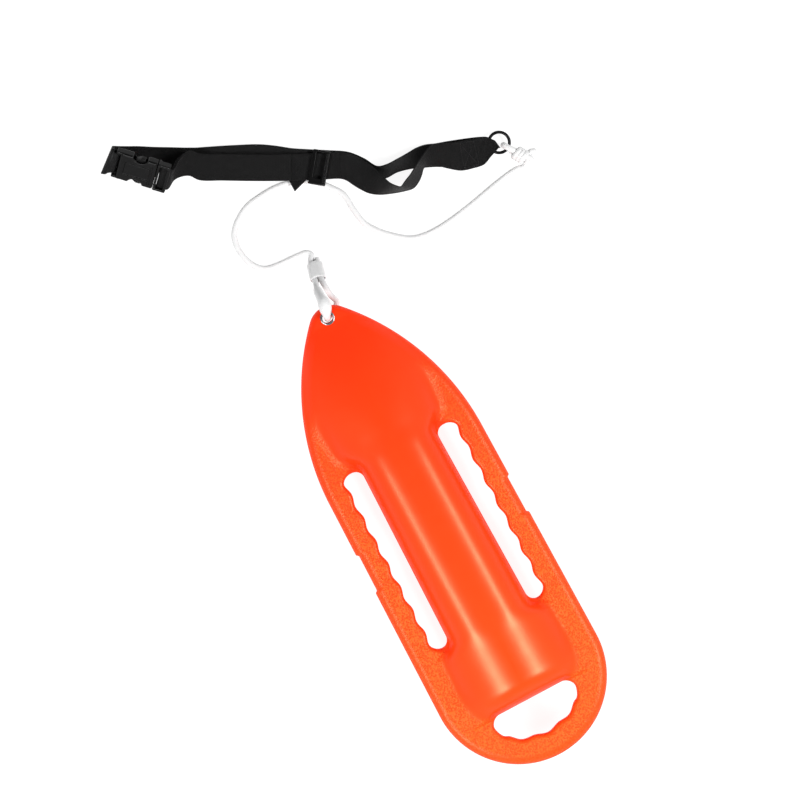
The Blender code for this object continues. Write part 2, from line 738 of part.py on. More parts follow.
def build_knot(pivot, last_run):
    """The knot with its loop through the ring, cut flat below and hollowed for the line."""
    points = [CROSSING + TO_KNOT * reach * MM + Vector((0, 0, z * MM))
              for reach, z in LOOP_PATH]
    loop_rope = rope("knot_loop", smooth(points, LOOP_STEP), LOOP_R)
    loop = curve_to_mesh(loop_rope, "knot_loop", cutter=True)

    knot = primitive("tow_line_knot", bpy.ops.mesh.primitive_uv_sphere_add, ROPE_MAT,
                     segments=20, ring_count=12, radius=1.0)
    knot.data.transform(Matrix.Diagonal((*KNOT_HALF_SIZES, 1.0)))
    turn = math.atan2(TO_KNOT.y, TO_KNOT.x) + math.radians(40.0)
    knot.data.transform(Matrix.Rotation(turn, 4, "Z"))
    knot.location = KNOT
    boolean(knot, loop, "UNION")

    seat = box("knot_seat", (-40, -40, -60), (40, 40, 0), cutter=True)
    seat.location = (KNOT.x, KNOT.y, 0.0006)
    boolean(knot, seat, "DIFFERENCE")
    line_rope = rope("line_seat", trim(last_run, 0.12, 0.0), ROPE_R + 0.4)
    boolean(knot, curve_to_mesh(line_rope, "line_seat", cutter=True), "DIFFERENCE")
    knot.data.shade_smooth()
    keep_place(knot, pivot)


def build_belt_ring():
    ring_turn = empty("ring_turn", CROSSING + Vector((0, 0, RING_Z * MM)))
    ring = primitive("belt_ring", bpy.ops.mesh.primitive_torus_add, RING_MAT,
                     major_segments=28, minor_segments=8,
                     major_radius=RING_MAJOR * MM, minor_radius=RING_WIRE * MM)
    ring.location = lay(RING_X, RING_Y, RING_Z)
    ring.data.shade_smooth()
    keep_place(ring, ring_turn)


# ------------------------------------------------------------------ buckle
BUCKLE_ROTATION = (Matrix.Rotation(-LAY_TURN + BUCKLE_TURN, 3, "Z")
                   @ Matrix.Rotation(BUCKLE_ROLL, 3, "X")).to_quaternion()
BUCKLE = empty("buckle_frame", lay(*BUCKLE_AT), quaternion=BUCKLE_ROTATION)
BUCKLE_TO_WORLD = BUCKLE.matrix_world.copy()

# (x, y) of the latch arm on the +y side
LATCH_ARM = (
    (-1.0, 12.0), (-1.0, 15.0), (-10.0, 17.2), (-16.5, 18.2), (-19.0, BARB_Y),
    (-25.0, BARB_Y - 0.4), (-33.5, 17.5), (-36.5, 14.0), (-33.5, 12.0), (-24.0, 15.2),
    (-12.0, 14.2))


def in_buckle(x, y, z):
    """A point of the buckle's own frame, in the world."""
    return BUCKLE_TO_WORLD @ Vector((x * MM, y * MM, z * MM))


def buckle_cutter(name, low, high, bevel=0.0):
    return box(name, low, high, cutter=True, parent=BUCKLE, bevel=bevel)


def build_female():
    """The socket: a bevelled case with a bar for the webbing at its -x end."""
    half_w, half_t = BUCKLE_HALF_W, BUCKLE_HALF_T
    gap_half = WEB_HALF + 1       # half width of the openings for the webbing
    bar_x = FEMALE_BAR_X
    female = box("buckle_female", (-FEMALE_LENGTH, -half_w, -half_t), (0, half_w, half_t),
                 BUCKLE_MAT, parent=BUCKLE, bevel=2.0)
    block = buckle_cutter("female_bar_block", (bar_x - BAR_HALF, -half_w, -half_t + 1.5),
                          (-FEMALE_LENGTH + 2, half_w, half_t - 1.5), bevel=1.2)
    boolean(female, block, "UNION")
    cuts = (
        ("female_slot", (bar_x + BAR_HALF, -gap_half, -20),
         (-FEMALE_LENGTH - 0.2, gap_half, 20)),
        ("bar_relief_top", (bar_x - 9, -gap_half, BAR_HALF), (bar_x + 4, gap_half, 20.0)),
        ("bar_relief_bottom", (bar_x - 9, -gap_half, -20.0), (bar_x + 4, gap_half, -BAR_HALF)),
        ("female_pocket", (-FEMALE_LENGTH + 6, -half_w + 2.4, -half_t + 2.2),
         (5, half_w - 2.4, half_t - 2.2)),
    )
    for name, low, high in cuts:
        boolean(female, buckle_cutter(name, low, high), "DIFFERENCE")
    for name, way in (("window_upper", 1), ("window_lower", -1)):
        window = drill(name, 11.5, -20, 20, (-26.0, way * (half_w + 3.2)), BUCKLE, sides=28)
        boolean(female, window, "DIFFERENCE")


def build_male():
    """The plug's cross plate, with rails, two bars for the webbing and a guide."""
    half_w, half_t = BUCKLE_HALF_W, BUCKLE_HALF_T
    rail_end = OUTER_BAR_X + OUTER_BAR_HALF
    male = box("buckle_male", (0.3, -half_w, -half_t + 0.6), (3.6, half_w, half_t - 0.6),
               BUCKLE_MAT, parent=BUCKLE)
    pieces = (
        ("male_rail_upper", (3.0, half_w - 4.2, -4.0), (rail_end, half_w, half_t), 1.0),
        ("male_rail_lower", (3.0, -half_w, -4.0), (rail_end, -half_w + 4.2, half_t), 1.0),
        ("male_inner_bar", (INNER_BAR_X - BAR_HALF, -half_w + 2, -BAR_HALF),
         (INNER_BAR_X + BAR_HALF, half_w - 2, BAR_HALF), 0.0),
        ("male_outer_bar", (OUTER_BAR_X - OUTER_BAR_HALF, -half_w + 2, 3.75),
         (rail_end, half_w - 2, half_t), 0.0),
        ("male_guide", (-34.0, -4.0, -1.8), (1.5, 4.0, 1.8), 0.8),
    )
    for name, low, high, bevel in pieces:
        boolean(male, buckle_cutter(name, low, high, bevel), "UNION")


def build_latch_arms():
    mirrored = [(x, -y) for x, y in LATCH_ARM]
    for name, way, outline in (("latch_arm_upper", 1, LATCH_ARM[::-1]),
                               ("latch_arm_lower", -1, mirrored)):
        arm = flat_outline(name + "_outline", [outline], half=3.6)
        arm.parent = BUCKLE
        arm = curve_to_mesh(arm, name, BUCKLE_MAT)
        hinge = empty(name.replace("arm", "hinge"), in_buckle(-1.5, way * 13.5, 0.0),
                      quaternion=BUCKLE_TO_WORLD.to_quaternion())
        keep_place(arm, hinge)


# ------------------------------------------------------------------ belt webbing
# In these tables a row is one station: x, y, z of the first edge, then of the second.

# from the buckle's bar down and round to the floor
BACK_TURN = (
    (-304, 244, 34.5, -316, 208, 13.5), (-307, 246.5, 27, -320.5, 209.5, 10.5),
    (-307, 247, 16, -321.5, 210, 6.0), (-302, 247, 6, -319, 209.5, 2.4),
    (-294, 247, 1.6, -312, 209, BACK_Z), (-284, 247, BACK_Z, -300, 209, BACK_Z))
# x, y of the first edge of the straight back run
BACK_STRAIGHT = (
    (-270, 247), (-250, 246), (-225, 245.5), (-204, 245), (-196, 245), (-188, 245),
    (-180, 245.5), (-172, 246), (-164, 246.5), (-157, 247), (-130, 248.5), (-100, 249.5),
    (-75, 247.5), (-52, 244), (-30, 242.5), (0, 241))
# on to the ring, its first edge lifted in a ripple on the way
BACK_TO_RING = (
    (30, 238.5, BACK_HIGH_Z, 27, 200.5, BACK_HIGH_Z),
    (52, 234.5, BACK_HIGH_Z, 46, 197, BACK_HIGH_Z),
    (70, 228.5, 13.5, 67, 197.5, 9.5), (84, 227, 24, 84, 201, 8.5),
    (99, 231.5, 30, 99, 209, 7.5), (113, 238, 30, 118, 214, 6.5),
    (126, 244, 22, 138, 216, 4.5), (139, 249, 12, 153, 217, 2.5),
    (154, 251, 5.0, 163, 217, BACK_Z + 0.3), (170, 254, 1.8, 175, 217, BACK_Z),
    (186, 256.5, BACK_Z, 190, 219, BACK_Z), (204, 259, BACK_Z, 207, 221, BACK_Z),
    (219, 260.5, BACK_Z, 222, 226, BACK_Z), (229, 260, BACK_Z, 234, 236, BACK_Z),
    (235, 257, BACK_Z + 0.6, 241, 242.5, BACK_Z + 0.6))
# gathered up through the ring
RING_FOLD = (
    (238, 255, 4.0, 245.5, 244.5, 4.0), (239, 254.3, 8.0, 246.5, 244, 8.0),
    (237.6, 255.2, 12.2, 245, 244.6, 12.2), (232, 257.5, 14.6, 241.5, 240.5, 14.8))
# and back over itself
ABOVE_RING = (
    (224, 258.5, 14.6, 233, 231, 15.2), (214, 258, 14.3, 224, 220.5, 15.4),
    (200, 255.5, 14.3, 207, 214.5, 14.8), (183, 252.5, 15.5, 190, 211.5, 14.3),
    (170, 251, 18.5, 172, 214.5, 14.3), (158, 250.5, 24.0, 160, 217.5, 14.3))
TWIST = (
    (148.5, 248, 30.0, 152.5, 218.0, 14.5), (139, 238, 37.5, 145, 218, 14.6),
    (127, 220, 44.5, 137.5, 215, 14.8), (117, 204.5, 46.5, 134.5, 205, 15),
    (110.5, 196.5, 47, 131, 196.5, 15), (106.5, 190.5, 47.5, 123, 186.5, 15),
    (104, 188, 48.5, 109, 182, 15), (99.5, 189, 48, 93, 179, 15),
    (89, 194, 43.5, 75, 177, 15), (75, 207, 33, 59, 179, 15),
    (63, 218, 22, 46, 185, 15), (51, 226, 17, 36, 191, 14.4),
    (38, 233.5, 14.6, 28, 196.5, 14.05))
# the front run's doubled part: x where it lies flat, then stations up to the buckle
FRONT_FLAT_X = (-52, -75, -110, -150, -184)
FRONT_RISE = (
    (-196, 240.0, 19.0, -198, 204.0, 15.3), (-206, 235, 25.0, -209.5, 202.0, 13.6),
    (-214, 227, 31.0, -219.5, 196.0, 12.6))
FRONT_AHEAD_X = (-30, -5, 25)   # its single part, towards the twist
FLAT_OFFSET = (RETURN_Z - FRONT_Z) / 2   # layers from the surface between them
RISE_OFFSET = 1.15


def laid(rows):
    return [(lay(*row[:3]), lay(*row[3:])) for row in rows]


def level(x, y, z):
    """A station whose edges lie level and a full width apart."""
    return lay(x, y, z), lay(x, y - 2 * WEB_HALF, z)


def wrap(x, z):
    """A station straight across the buckle."""
    return in_buckle(x, WEB_HALF, z), in_buckle(x, -WEB_HALF, z)


def back_height(x):
    """Height of the back run: on the floor at the buckle, over the line further on."""
    t = min(1.0, max(0.0, (x + 204.0) / 47.0))
    return BACK_Z + (BACK_HIGH_Z - BACK_Z) * (0.5 - 0.5 * math.cos(math.pi * t))


def front_edge_y(x):
    """y of the front run's first edge."""
    bow = 6.2 * min(1.0, max(0.0, (-50.0 - x) / 130.0)) ** 1.5
    return 236.6 + FRONT_SLOPE * (x - SLIDER_X) + bow


def build_back_webbing(belt_swing):
    """From round the socket's bar along the floor, through the ring and back over."""
    round_bar = [wrap(FEMALE_BAR_X + x, z) for x, z in (
        (-9.5, -WRAP - 0.2), (-5.0, -WRAP), (0.0, -WRAP), (WRAP_45, -WRAP_45),
        (WRAP, 0.0), (WRAP_45, WRAP_45), (0.0, WRAP), (-5.0, WRAP + 0.3))]
    straight = [level(x, y, back_height(x)) for x, y in BACK_STRAIGHT]
    stations = (round_bar + laid(BACK_TURN) + straight
                + laid(BACK_TO_RING + RING_FOLD + ABOVE_RING))
    keep_place(ribbon("webbing_back", stations, parts=2), belt_swing)


def build_front_webbing(buckle_pull):
    """Back from its end at the slider, round the plug's inner bar, then to the twist."""
    middle = [level(x, front_edge_y(x), (RETURN_Z + FRONT_Z) / 2) for x in FRONT_FLAT_X]
    middle += laid(FRONT_RISE) + [wrap(OUTER_BAR_X + 3.5, 1.67)]
    flat_count = len(FRONT_FLAT_X)

    def layer(way):
        """The upper (1) or lower (-1) layer, either side of the middle surface."""
        out = []
        for i, (first, second) in enumerate(middle):
            if i == flat_count - 1:
                # straight up where the strap starts to rise
                offset = Vector((0.0, 0.0, FLAT_OFFSET * MM * way))
            else:
                reach = FLAT_OFFSET if i < flat_count else RISE_OFFSET
                offset = strip_normal(middle, i) * MM * way * reach
            out.append((first + offset, second + offset))
        return out

    around = [wrap(x, z) for x, z in (
        (OUTER_BAR_X - 3.0, WRAP), (INNER_BAR_X, WRAP), (INNER_BAR_X - WRAP_45, WRAP_45),
        (INNER_BAR_X - WRAP, 0.0), (INNER_BAR_X - WRAP_45, -WRAP_45),
        (INNER_BAR_X, -WRAP), (OUTER_BAR_X - 3.0, -1.6))]
    ahead = [level(x, front_edge_y(x), FRONT_Z) for x in FRONT_AHEAD_X]
    stations = layer(1) + around + layer(-1)[::-1] + ahead
    keep_place(ribbon("webbing_front", stations, parts=1), buckle_pull)


# ------------------------------------------------------------------ strap adjuster
WEB_TAIL = ((-47, 181), (-31, 197), (-47, 226), (-64, 213))   # x, y in the lay
WEB_TAIL_Z = 12.2


def build_glide(frame):
    """A bevelled frame with two ends reaching down and a bar between them."""
    half_l, half_w = GLIDE_HALF_L, GLIDE_HALF_W
    glide = box("tri_glide", (-half_l, -half_w, 16.9), (half_l, half_w, 20.2),
                BUCKLE_MAT, parent=frame, bevel=1.0)
    # operation, name, low corner, high corner
    pieces = (
        ("DIFFERENCE", "glide_gap", (-7.0, -half_w + 4.0, 10.0), (6.0, half_w - 4.0, 30.0)),
        ("UNION", "glide_end_upper", (-half_l, half_w - 3.4, 11.6), (half_l, half_w, 18.0)),
        ("UNION", "glide_end_lower", (-half_l, -half_w, 11.6), (half_l, -half_w + 3.4, 18.0)),
        ("UNION", "glide_centre_bar", (-3.5, -half_w + 0.5, 11.45), (2.5, half_w - 0.5, 12.9)),
    )
    for operation, name, low, high in pieces:
        boolean(glide, box(name, low, high, cutter=True, parent=frame), operation)


def build_web_tail(frame):
    """The flat piece of webbing that sticks out beside the slider."""
    tail = flat_outline("webbing_tail_outline", [WEB_TAIL], half=0.72)
    tail.matrix_world = (Matrix.Translation((0.0, HOLE_Y * MM, WEB_TAIL_Z * MM))
                         @ Matrix.Rotation(-LAY_TURN, 4, "Z"))
    keep_place(curve_to_mesh(tail, "webbing_tail", WEB_MAT), frame)


# ------------------------------------------------------------------ assembly
def build_can():
    can = empty("can", (0.0, 0.0, 0.0))
    build_hull(can)
    build_foam(can)
    build_plug(can)
    build_grommets(can)


def build_tow_line():
    nose_swing = empty("nose_swing", lay(0, 0, MID_Z))
    bends = [on_floor(x, y) for x, y in LINE_BENDS]
    pivots = [empty(f"line_bend_{i}", bend) for i, bend in enumerate(bends, 1)]
    build_eye(nose_swing, bends[0])
    build_sleeve(nose_swing)
    last_run = build_line_runs(bends, pivots)
    build_knot(pivots[-1], last_run)


def build_belt():
    build_belt_ring()
    build_female()
    build_male()
    build_latch_arms()
    belt_swing = empty("belt_swing", lay(RING_X, RING_Y, RING_Z))
    build_back_webbing(belt_swing)
    keep_place(ribbon("webbing_twist", laid(TWIST), parts=2), belt_swing)
    build_front_webbing(empty("buckle_pull", in_buckle(0, 0, 0)))
    slider_turn = -LAY_TURN + math.atan(FRONT_SLOPE) + SLIDER_LEAN
    slider = empty("slider_adjust", lay(SLIDER_X, SLIDER_Y), euler=(0.0, 0.0, slider_turn))
    build_glide(slider)
    build_web_tail(slider)


build_can()
build_tow_line()
build_belt()
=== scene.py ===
"""Rescue can with its tow line and shoulder belt, laid out on a lit floor.

The can lies along Y, nose towards +Y and belly on the floor (z = 0). The line rises through
the hole in the nose and runs over the floor to a knot on the belt's steel ring. Line and belt
are laid out in a frame of their own, which starts at the nose hole and is turned clockwise.
Lengths are millimetres, turned into metres when a mesh is made; lights and camera are in metres.
"""
import math

import bmesh
import bpy
import numpy as np
from mathutils import Matrix, Vector


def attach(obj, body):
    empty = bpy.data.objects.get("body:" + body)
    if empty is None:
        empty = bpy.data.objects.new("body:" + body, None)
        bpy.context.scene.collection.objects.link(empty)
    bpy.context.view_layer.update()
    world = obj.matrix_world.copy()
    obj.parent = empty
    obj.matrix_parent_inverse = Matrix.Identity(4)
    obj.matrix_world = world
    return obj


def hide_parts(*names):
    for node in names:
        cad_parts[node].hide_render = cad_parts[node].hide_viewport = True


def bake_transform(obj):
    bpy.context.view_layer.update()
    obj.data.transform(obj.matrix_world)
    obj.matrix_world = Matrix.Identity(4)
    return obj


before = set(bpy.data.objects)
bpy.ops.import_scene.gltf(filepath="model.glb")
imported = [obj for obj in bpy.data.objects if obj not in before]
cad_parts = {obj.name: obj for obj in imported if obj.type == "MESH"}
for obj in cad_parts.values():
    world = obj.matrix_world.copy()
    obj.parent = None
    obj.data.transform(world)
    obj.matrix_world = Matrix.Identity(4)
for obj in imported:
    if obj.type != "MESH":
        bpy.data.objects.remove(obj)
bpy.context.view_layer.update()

MM = 0.001


# ------------------------------------------------------------------ shader building
def feed(socket, value):
    """Links a socket, or sets a number or colour on an input."""
    if isinstance(value, bpy.types.NodeSocket):
        socket.id_data.links.new(value, socket)
    elif isinstance(value, tuple):
        socket.default_value = (*value, 1.0)[:len(socket.default_value)]
    else:
        socket.default_value = value


class Shader:
    """A node tree being built; its methods return output sockets, add() the node itself."""

    def __init__(self, owner, output_kind, shader_kind):
        owner.use_nodes = True
        self.owner, self.tree = owner, owner.node_tree
        self.tree.nodes.clear()
        output = self.add(output_kind)
        self.shader = self.add(shader_kind)
        feed(output.inputs[0], self.shader.outputs[0])

    def add(self, kind, inputs=None, **settings):
        made = self.tree.nodes.new(kind)
        for key, value in settings.items():
            setattr(made, key, value)
        for key, value in (inputs or {}).items():
            feed(made.inputs[key], value)
        return made

    def surface(self, **inputs):
        """Feeds the final shader; underscores stand for spaces in the input names."""
        for key, value in inputs.items():
            feed(self.shader.inputs[key.replace("_", " ")], value)

    def attribute(self, name, output="Fac"):
        return self.add("ShaderNodeAttribute", attribute_name=name).outputs[output]

    def noise(self, scale, detail, roughness=0.5):
        return self.add("ShaderNodeTexNoise", {"Vector": self.rest, "Scale": scale,
                                               "Detail": detail, "Roughness": roughness}).outputs[0]

    def calc(self, operation, a, b=0.0, c=None):
        inputs = {0: a, 1: b}
        if c is not None:
            inputs[2] = c
        return self.add("ShaderNodeMath", inputs, operation=operation).outputs[0]

    def times(self, a, b):
        return self.calc("MULTIPLY", a, b)

    def linear(self, value, gain, offset):
        return self.calc("MULTIPLY_ADD", value, gain, offset)

    def ramp(self, source, *stops):
        """A colour ramp; each stop is (position, colour)."""
        made = self.add("ShaderNodeValToRGB", {0: source})
        elements = made.color_ramp.elements
        while len(elements) < len(stops):
            elements.new(0.5)
        for element, (position, colour) in zip(elements, stops):
            element.position = position
            element.color = (*colour, 1.0)
        return made.outputs[0]

    def mix(self, factor, a, b):
        mixer = self.add("ShaderNodeMix", data_type="RGBA")
        for index, value in ((0, factor), (6, a), (7, b)):
            feed(mixer.inputs[index], value)
        return mixer.outputs[2]

    def bump(self, height, distance, strength, normal=None):
        inputs = {"Distance": distance, "Strength": strength, "Height": height}
        if normal is not None:
            inputs["Normal"] = normal
        return self.add("ShaderNodeBump", inputs).outputs[0]


def new_material(name):
    shade = Shader(bpy.data.materials.new(name), "ShaderNodeOutputMaterial",
                   "ShaderNodeBsdfPrincipled")
    # the place of a point at rest, stored on the mesh, so that a pattern moves with its piece
    shade.rest = shade.attribute("rest", "Vector")
    return shade


# ------------------------------------------------------------------ materials
def hull_material():
    shade = new_material("hull_plastic")
    grain = shade.attribute("grain")
    # colour: deeper and redder towards the nose, lighter towards the tail, partly the plastic's own
    # tone and partly painted light where the lamps fall strongest; with its own tint where it is
    # grained
    y = shade.add("ShaderNodeSeparateXYZ", {0: shade.rest}).outputs[1]
    along = shade.linear(y, gain=1.39, offset=0.5)
    smooth_colour = shade.ramp(along, (0.0, (1.0, 0.060, 0.0070)), (0.45, (1.0, 0.048, 0.0056)),
                               (0.80, (1.0, 0.038, 0.0048)), (1.0, (0.99, 0.028, 0.0040)))
    grain_colour = shade.ramp(along, (0.0, (1.0, 0.058, 0.0055)), (0.6, (1.0, 0.045, 0.0042)),
                              (1.0, (1.0, 0.032, 0.0036)))
    cloud = shade.noise(scale=9.0, detail=4.0, roughness=0.55)
    mottled = shade.mix(shade.times(cloud, 0.22), smooth_colour, (1.0, 0.085, 0.011))
    colour = shade.mix(grain, mottled, grain_colour)
    # painted highlight on the raised crests of the fine pebble of the moulded texture, with random
    # light specks
    pebble = shade.add("ShaderNodeTexVoronoi",
                       {"Scale": 430.0, "Smoothness": 0.6, "Vector": shade.rest},
                       feature="SMOOTH_F1").outputs["Distance"]
    dust = shade.noise(scale=900.0, detail=2.0)
    speck = shade.times(shade.calc("SUBTRACT", dust, 0.5), grain)
    pebble_crest_highlight = shade.ramp(pebble, (0.30, (0.0, 0.0, 0.0)), (0.62, (1.0, 1.0, 1.0)))
    amount = shade.times(shade.linear(pebble_crest_highlight, gain=0.50, offset=0.0), grain)
    amount = shade.linear(speck, gain=0.6, offset=amount)
    colour = shade.mix(amount, colour, (1.0, 0.17, 0.026))
    # satin gloss with faint handling marks, dull where it is grained
    scuff = shade.noise(scale=60.0, detail=6.0, roughness=0.7)
    satin = shade.linear(scuff, gain=0.10, offset=0.265)
    dull = 0.50
    roughness = shade.add("ShaderNodeMix", {0: grain, 2: satin, 3: dull}).outputs[0]
    # long waviness of the skin, then the pebble, then a fine tooth
    wavy = shade.noise(scale=26.0, detail=1.0)
    normal = shade.bump(wavy, distance=0.0006, strength=0.35)
    normal = shade.bump(shade.times(pebble, grain), distance=0.0010, strength=1.0, normal=normal)
    fine = shade.noise(scale=1500.0, detail=2.0)
    normal = shade.bump(fine, distance=0.00004, strength=0.5, normal=normal)
    # the gloss fades at grazing angles and on the grain
    facing = shade.add("ShaderNodeLayerWeight", {"Blend": 0.5}).outputs["Facing"]
    gloss = shade.calc("MAXIMUM", shade.linear(facing, gain=-0.62, offset=0.47), 0.01)
    gloss = shade.times(gloss, shade.linear(grain, gain=-0.45, offset=1.0))
    shade.surface(Base_Color=colour, Roughness=roughness, Normal=normal, Specular_IOR_Level=gloss,
                  Specular_Tint=(1.0, 0.80, 0.46), Subsurface_Weight=0.03,
                  Subsurface_Radius=(0.008, 0.002, 0.0006), Subsurface_Scale=0.4)
    return shade.owner


def rope_material():
    shade = new_material("rope")
    crest = shade.attribute("crest")
    cloud = shade.noise(scale=55.0, detail=3.0)
    # painted shade: grey in the grooves of the braid, pale on its crests
    base = shade.ramp(crest, (0.0, (0.43, 0.433, 0.437)), (0.35, (0.68, 0.68, 0.685)),
                      (1.0, (0.79, 0.79, 0.79)))
    colour = shade.mix(shade.times(cloud, 0.25), base, (0.74, 0.74, 0.73))
    fibre = shade.noise(scale=2600.0, detail=2.0)
    shade.surface(Base_Color=colour, Normal=shade.bump(fibre, distance=0.00012, strength=0.6),
                  Roughness=0.62, Sheen_Weight=0.25, Sheen_Roughness=0.4, Subsurface_Weight=0.15,
                  Subsurface_Radius=(0.003, 0.003, 0.003), Subsurface_Scale=0.5)
    return shade.owner


def webbing_material():
    """Black weave, patterned in millimetres along (U) and across (V) the strap."""
    weft_length, warp_width = 1.9, 1.1
    shade = new_material("webbing")
    uv = shade.add("ShaderNodeUVMap", uv_map="strap").outputs[0]
    along_mm, across_mm, _ = shade.add("ShaderNodeSeparateXYZ", {0: uv}).outputs
    # warp ends run along the strap, picked up over and under by each weft rib
    along = shade.times(along_mm, math.tau / weft_length)
    across = shade.times(across_mm, math.tau / warp_width)
    row = shade.calc("FLOOR", shade.calc("DIVIDE", across_mm, warp_width))
    shifted = shade.linear(row, gain=math.pi, offset=along)
    pick = shade.linear(shade.calc("COSINE", shifted), gain=0.5, offset=0.5)
    warp = shade.calc("ABSOLUTE", shade.calc("SINE", shade.times(across, 0.5)))
    height = shade.times(shade.calc("POWER", pick, 0.7), shade.calc("POWER", warp, 0.6))
    lint = shade.noise(scale=1400.0, detail=3.0)
    cloud = shade.noise(scale=30.0, detail=3.0)
    # painted shade and light: the colour is darker in the hollows of the weave and lighter on its
    # raised picks
    base = shade.ramp(height, (0.0, (0.0006, 0.0006, 0.0007)), (0.5, (0.0025, 0.0025, 0.0026)),
                      (1.0, (0.0050, 0.0050, 0.0052)))
    colour = shade.mix(shade.times(cloud, 0.5), base, (0.0030, 0.0030, 0.0032))
    normal = shade.bump(height, distance=0.0005, strength=0.8)
    normal = shade.bump(lint, distance=0.0001, strength=0.5, normal=normal)
    shade.surface(Base_Color=colour, Normal=normal, Roughness=0.58, Specular_IOR_Level=0.16,
                  Sheen_Weight=0.02, Sheen_Roughness=0.35)
    return shade.owner


def moulded_black():
    shade = new_material("buckle_plastic")
    # painted highlight: the colour lightens on sharp convex edges
    pointiness = shade.add("ShaderNodeNewGeometry").outputs["Pointiness"]
    edge = shade.ramp(pointiness, (0.50, (0, 0, 0)), (0.60, (1, 1, 1)))
    colour = shade.mix(shade.times(edge, 0.35), (0.0018, 0.0018, 0.0019), (0.009, 0.009, 0.0094))
    spark = shade.noise(scale=2200.0, detail=2.0)
    cloud = shade.noise(scale=120.0, detail=4.0)
    shade.surface(Base_Color=colour, Roughness=shade.linear(cloud, gain=0.16, offset=0.30),
                  Normal=shade.bump(spark, distance=0.00006, strength=0.5),
                  Specular_IOR_Level=0.17)
    return shade.owner


def metal(name, colour, roughness):
    shade = new_material(name)
    cloud = shade.noise(scale=400.0, detail=4.0)
    darker = tuple(c * 0.82 for c in colour)
    shade.surface(Base_Color=shade.mix(cloud, darker, colour), Metallic=1.0,
                  Roughness=shade.linear(cloud, gain=0.14, offset=roughness),
                  Normal=shade.bump(cloud, distance=0.00003, strength=0.5))
    return shade.owner


def simple(name, colour, roughness, scale, depth, second=None):
    """Plain stuff, mottled and pitted by one noise; the second colour is a darker first."""
    shade = new_material(name)
    cloud = shade.noise(scale=scale, detail=4.0)
    second = second or tuple(c * 0.75 for c in colour)
    shade.surface(Base_Color=shade.mix(cloud, colour, second), Roughness=roughness,
                  Normal=shade.bump(cloud, distance=depth, strength=0.6))
    return shade.owner


HULL = hull_material()
ROPE = rope_material()
WEB = webbing_material()
BLACK = moulded_black()
STEEL = metal("ring_steel", colour=(0.020, 0.020, 0.021), roughness=0.34)
EYELET = metal("grommet_steel", colour=(0.30, 0.30, 0.31), roughness=0.30)
FOAM = simple("foam", colour=(0.86, 0.74, 0.44), roughness=0.9, scale=700.0, depth=0.0006)
PLUG = simple("plug_plastic", colour=(0.95, 0.055, 0.008), roughness=0.36, scale=500.0,
              depth=0.00004, second=(0.98, 0.085, 0.012))
SEAL = simple("seal_rubber", colour=(0.012, 0.012, 0.012), roughness=0.7, scale=900.0,
              depth=0.00005)
THREAD = simple("thread", colour=(0.0045, 0.0045, 0.0048), roughness=0.6, scale=3000.0,
                depth=0.00003)


# ------------------------------------------------------------------ mesh helpers
def store_rest(mesh):
    places = np.empty(len(mesh.vertices) * 3, np.float32)
    mesh.vertices.foreach_get("co", places)
    mesh.attributes.new("rest", "FLOAT_VECTOR", "POINT").data.foreach_set("vector", places)


def face_outward(mesh):
    bm = bmesh.new()
    bm.from_mesh(mesh)
    bmesh.ops.recalc_face_normals(bm, faces=bm.faces)
    bm.to_mesh(mesh)
    bm.free()


def to_object(name, verts, faces, material, body=None, stands_for=None,
              attributes=None, uv=None, outward=False):
    """verts in millimetres; faces an array of quads, or a list of mixed polygons."""
    mesh = bpy.data.meshes.new(name)
    verts = np.asarray(verts, float) * MM
    if isinstance(faces, np.ndarray):
        mesh.vertices.add(len(verts))
        mesh.vertices.foreach_set("co", verts.astype(np.float32).ravel())
        mesh.loops.add(faces.size)
        mesh.loops.foreach_set("vertex_index", faces.astype(np.int32).ravel())
        mesh.polygons.add(len(faces))
        mesh.polygons.foreach_set("loop_start", np.arange(0, faces.size, 4, dtype=np.int32))
        mesh.update(calc_edges=True)
        mesh.validate()
    else:
        mesh.from_pydata([tuple(v) for v in verts], [], faces)
        mesh.update()
    mesh.polygons.foreach_set("use_smooth", np.full(len(mesh.polygons), True))
    for key, values in (attributes or {}).items():
        layer = mesh.attributes.new(key, "FLOAT", "POINT")
        layer.data.foreach_set("value", np.asarray(values, np.float32))
    if uv is not None:
        layer = mesh.uv_layers.new(name="strap")
        index = np.empty(len(mesh.loops), np.int32)
        mesh.loops.foreach_get("vertex_index", index)
        layer.data.foreach_set("uv", np.asarray(uv, np.float32)[index].ravel())
    store_rest(mesh)
    obj = bpy.data.objects.new(name, mesh)
    bpy.context.scene.collection.objects.link(obj)
    mesh.materials.append(material)
    if outward:
        face_outward(mesh)
    if body:
        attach(obj, body)
    if stands_for:
        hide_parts(stands_for)
    return obj


def grid_quads(rows, columns, closed=False):
    """Quads over rows of points, each row a loop; closed also joins the last row to the first."""
    row, column = np.meshgrid(np.arange(rows if closed else rows - 1), np.arange(columns),
                              indexing="ij")
    row, column = row.ravel(), column.ravel()
    after, beside = (row + 1) % rows, (column + 1) % columns
    return np.stack([row * columns + column, row * columns + beside,
                     after * columns + beside, after * columns + column], 1)


# ------------------------------------------------------------------ solids of distance
# A shape is a function of x, y, z: the distance to its surface, negative inside.
def clamp01(t):
    return np.clip(t, 0.0, 1.0)


def ease(t):
    t = clamp01(t)
    return t * t * (3.0 - 2.0 * t)


def rounded(a, b, r):
    """The overlap of two regions, with its edge rounded to r."""
    u, v = a + r, b + r
    return (np.minimum(np.maximum(u, v), 0.0)
            + np.hypot(np.maximum(u, 0.0), np.maximum(v, 0.0)) - r)


def carve(a, b, r):
    """a without b, the edge rounded to r."""
    return rounded(a, -b, r)


def union(a, b, fillet):
    h = np.maximum(fillet - np.abs(a - b), 0.0) / fillet
    return np.minimum(a, b) - h * h * fillet * 0.25


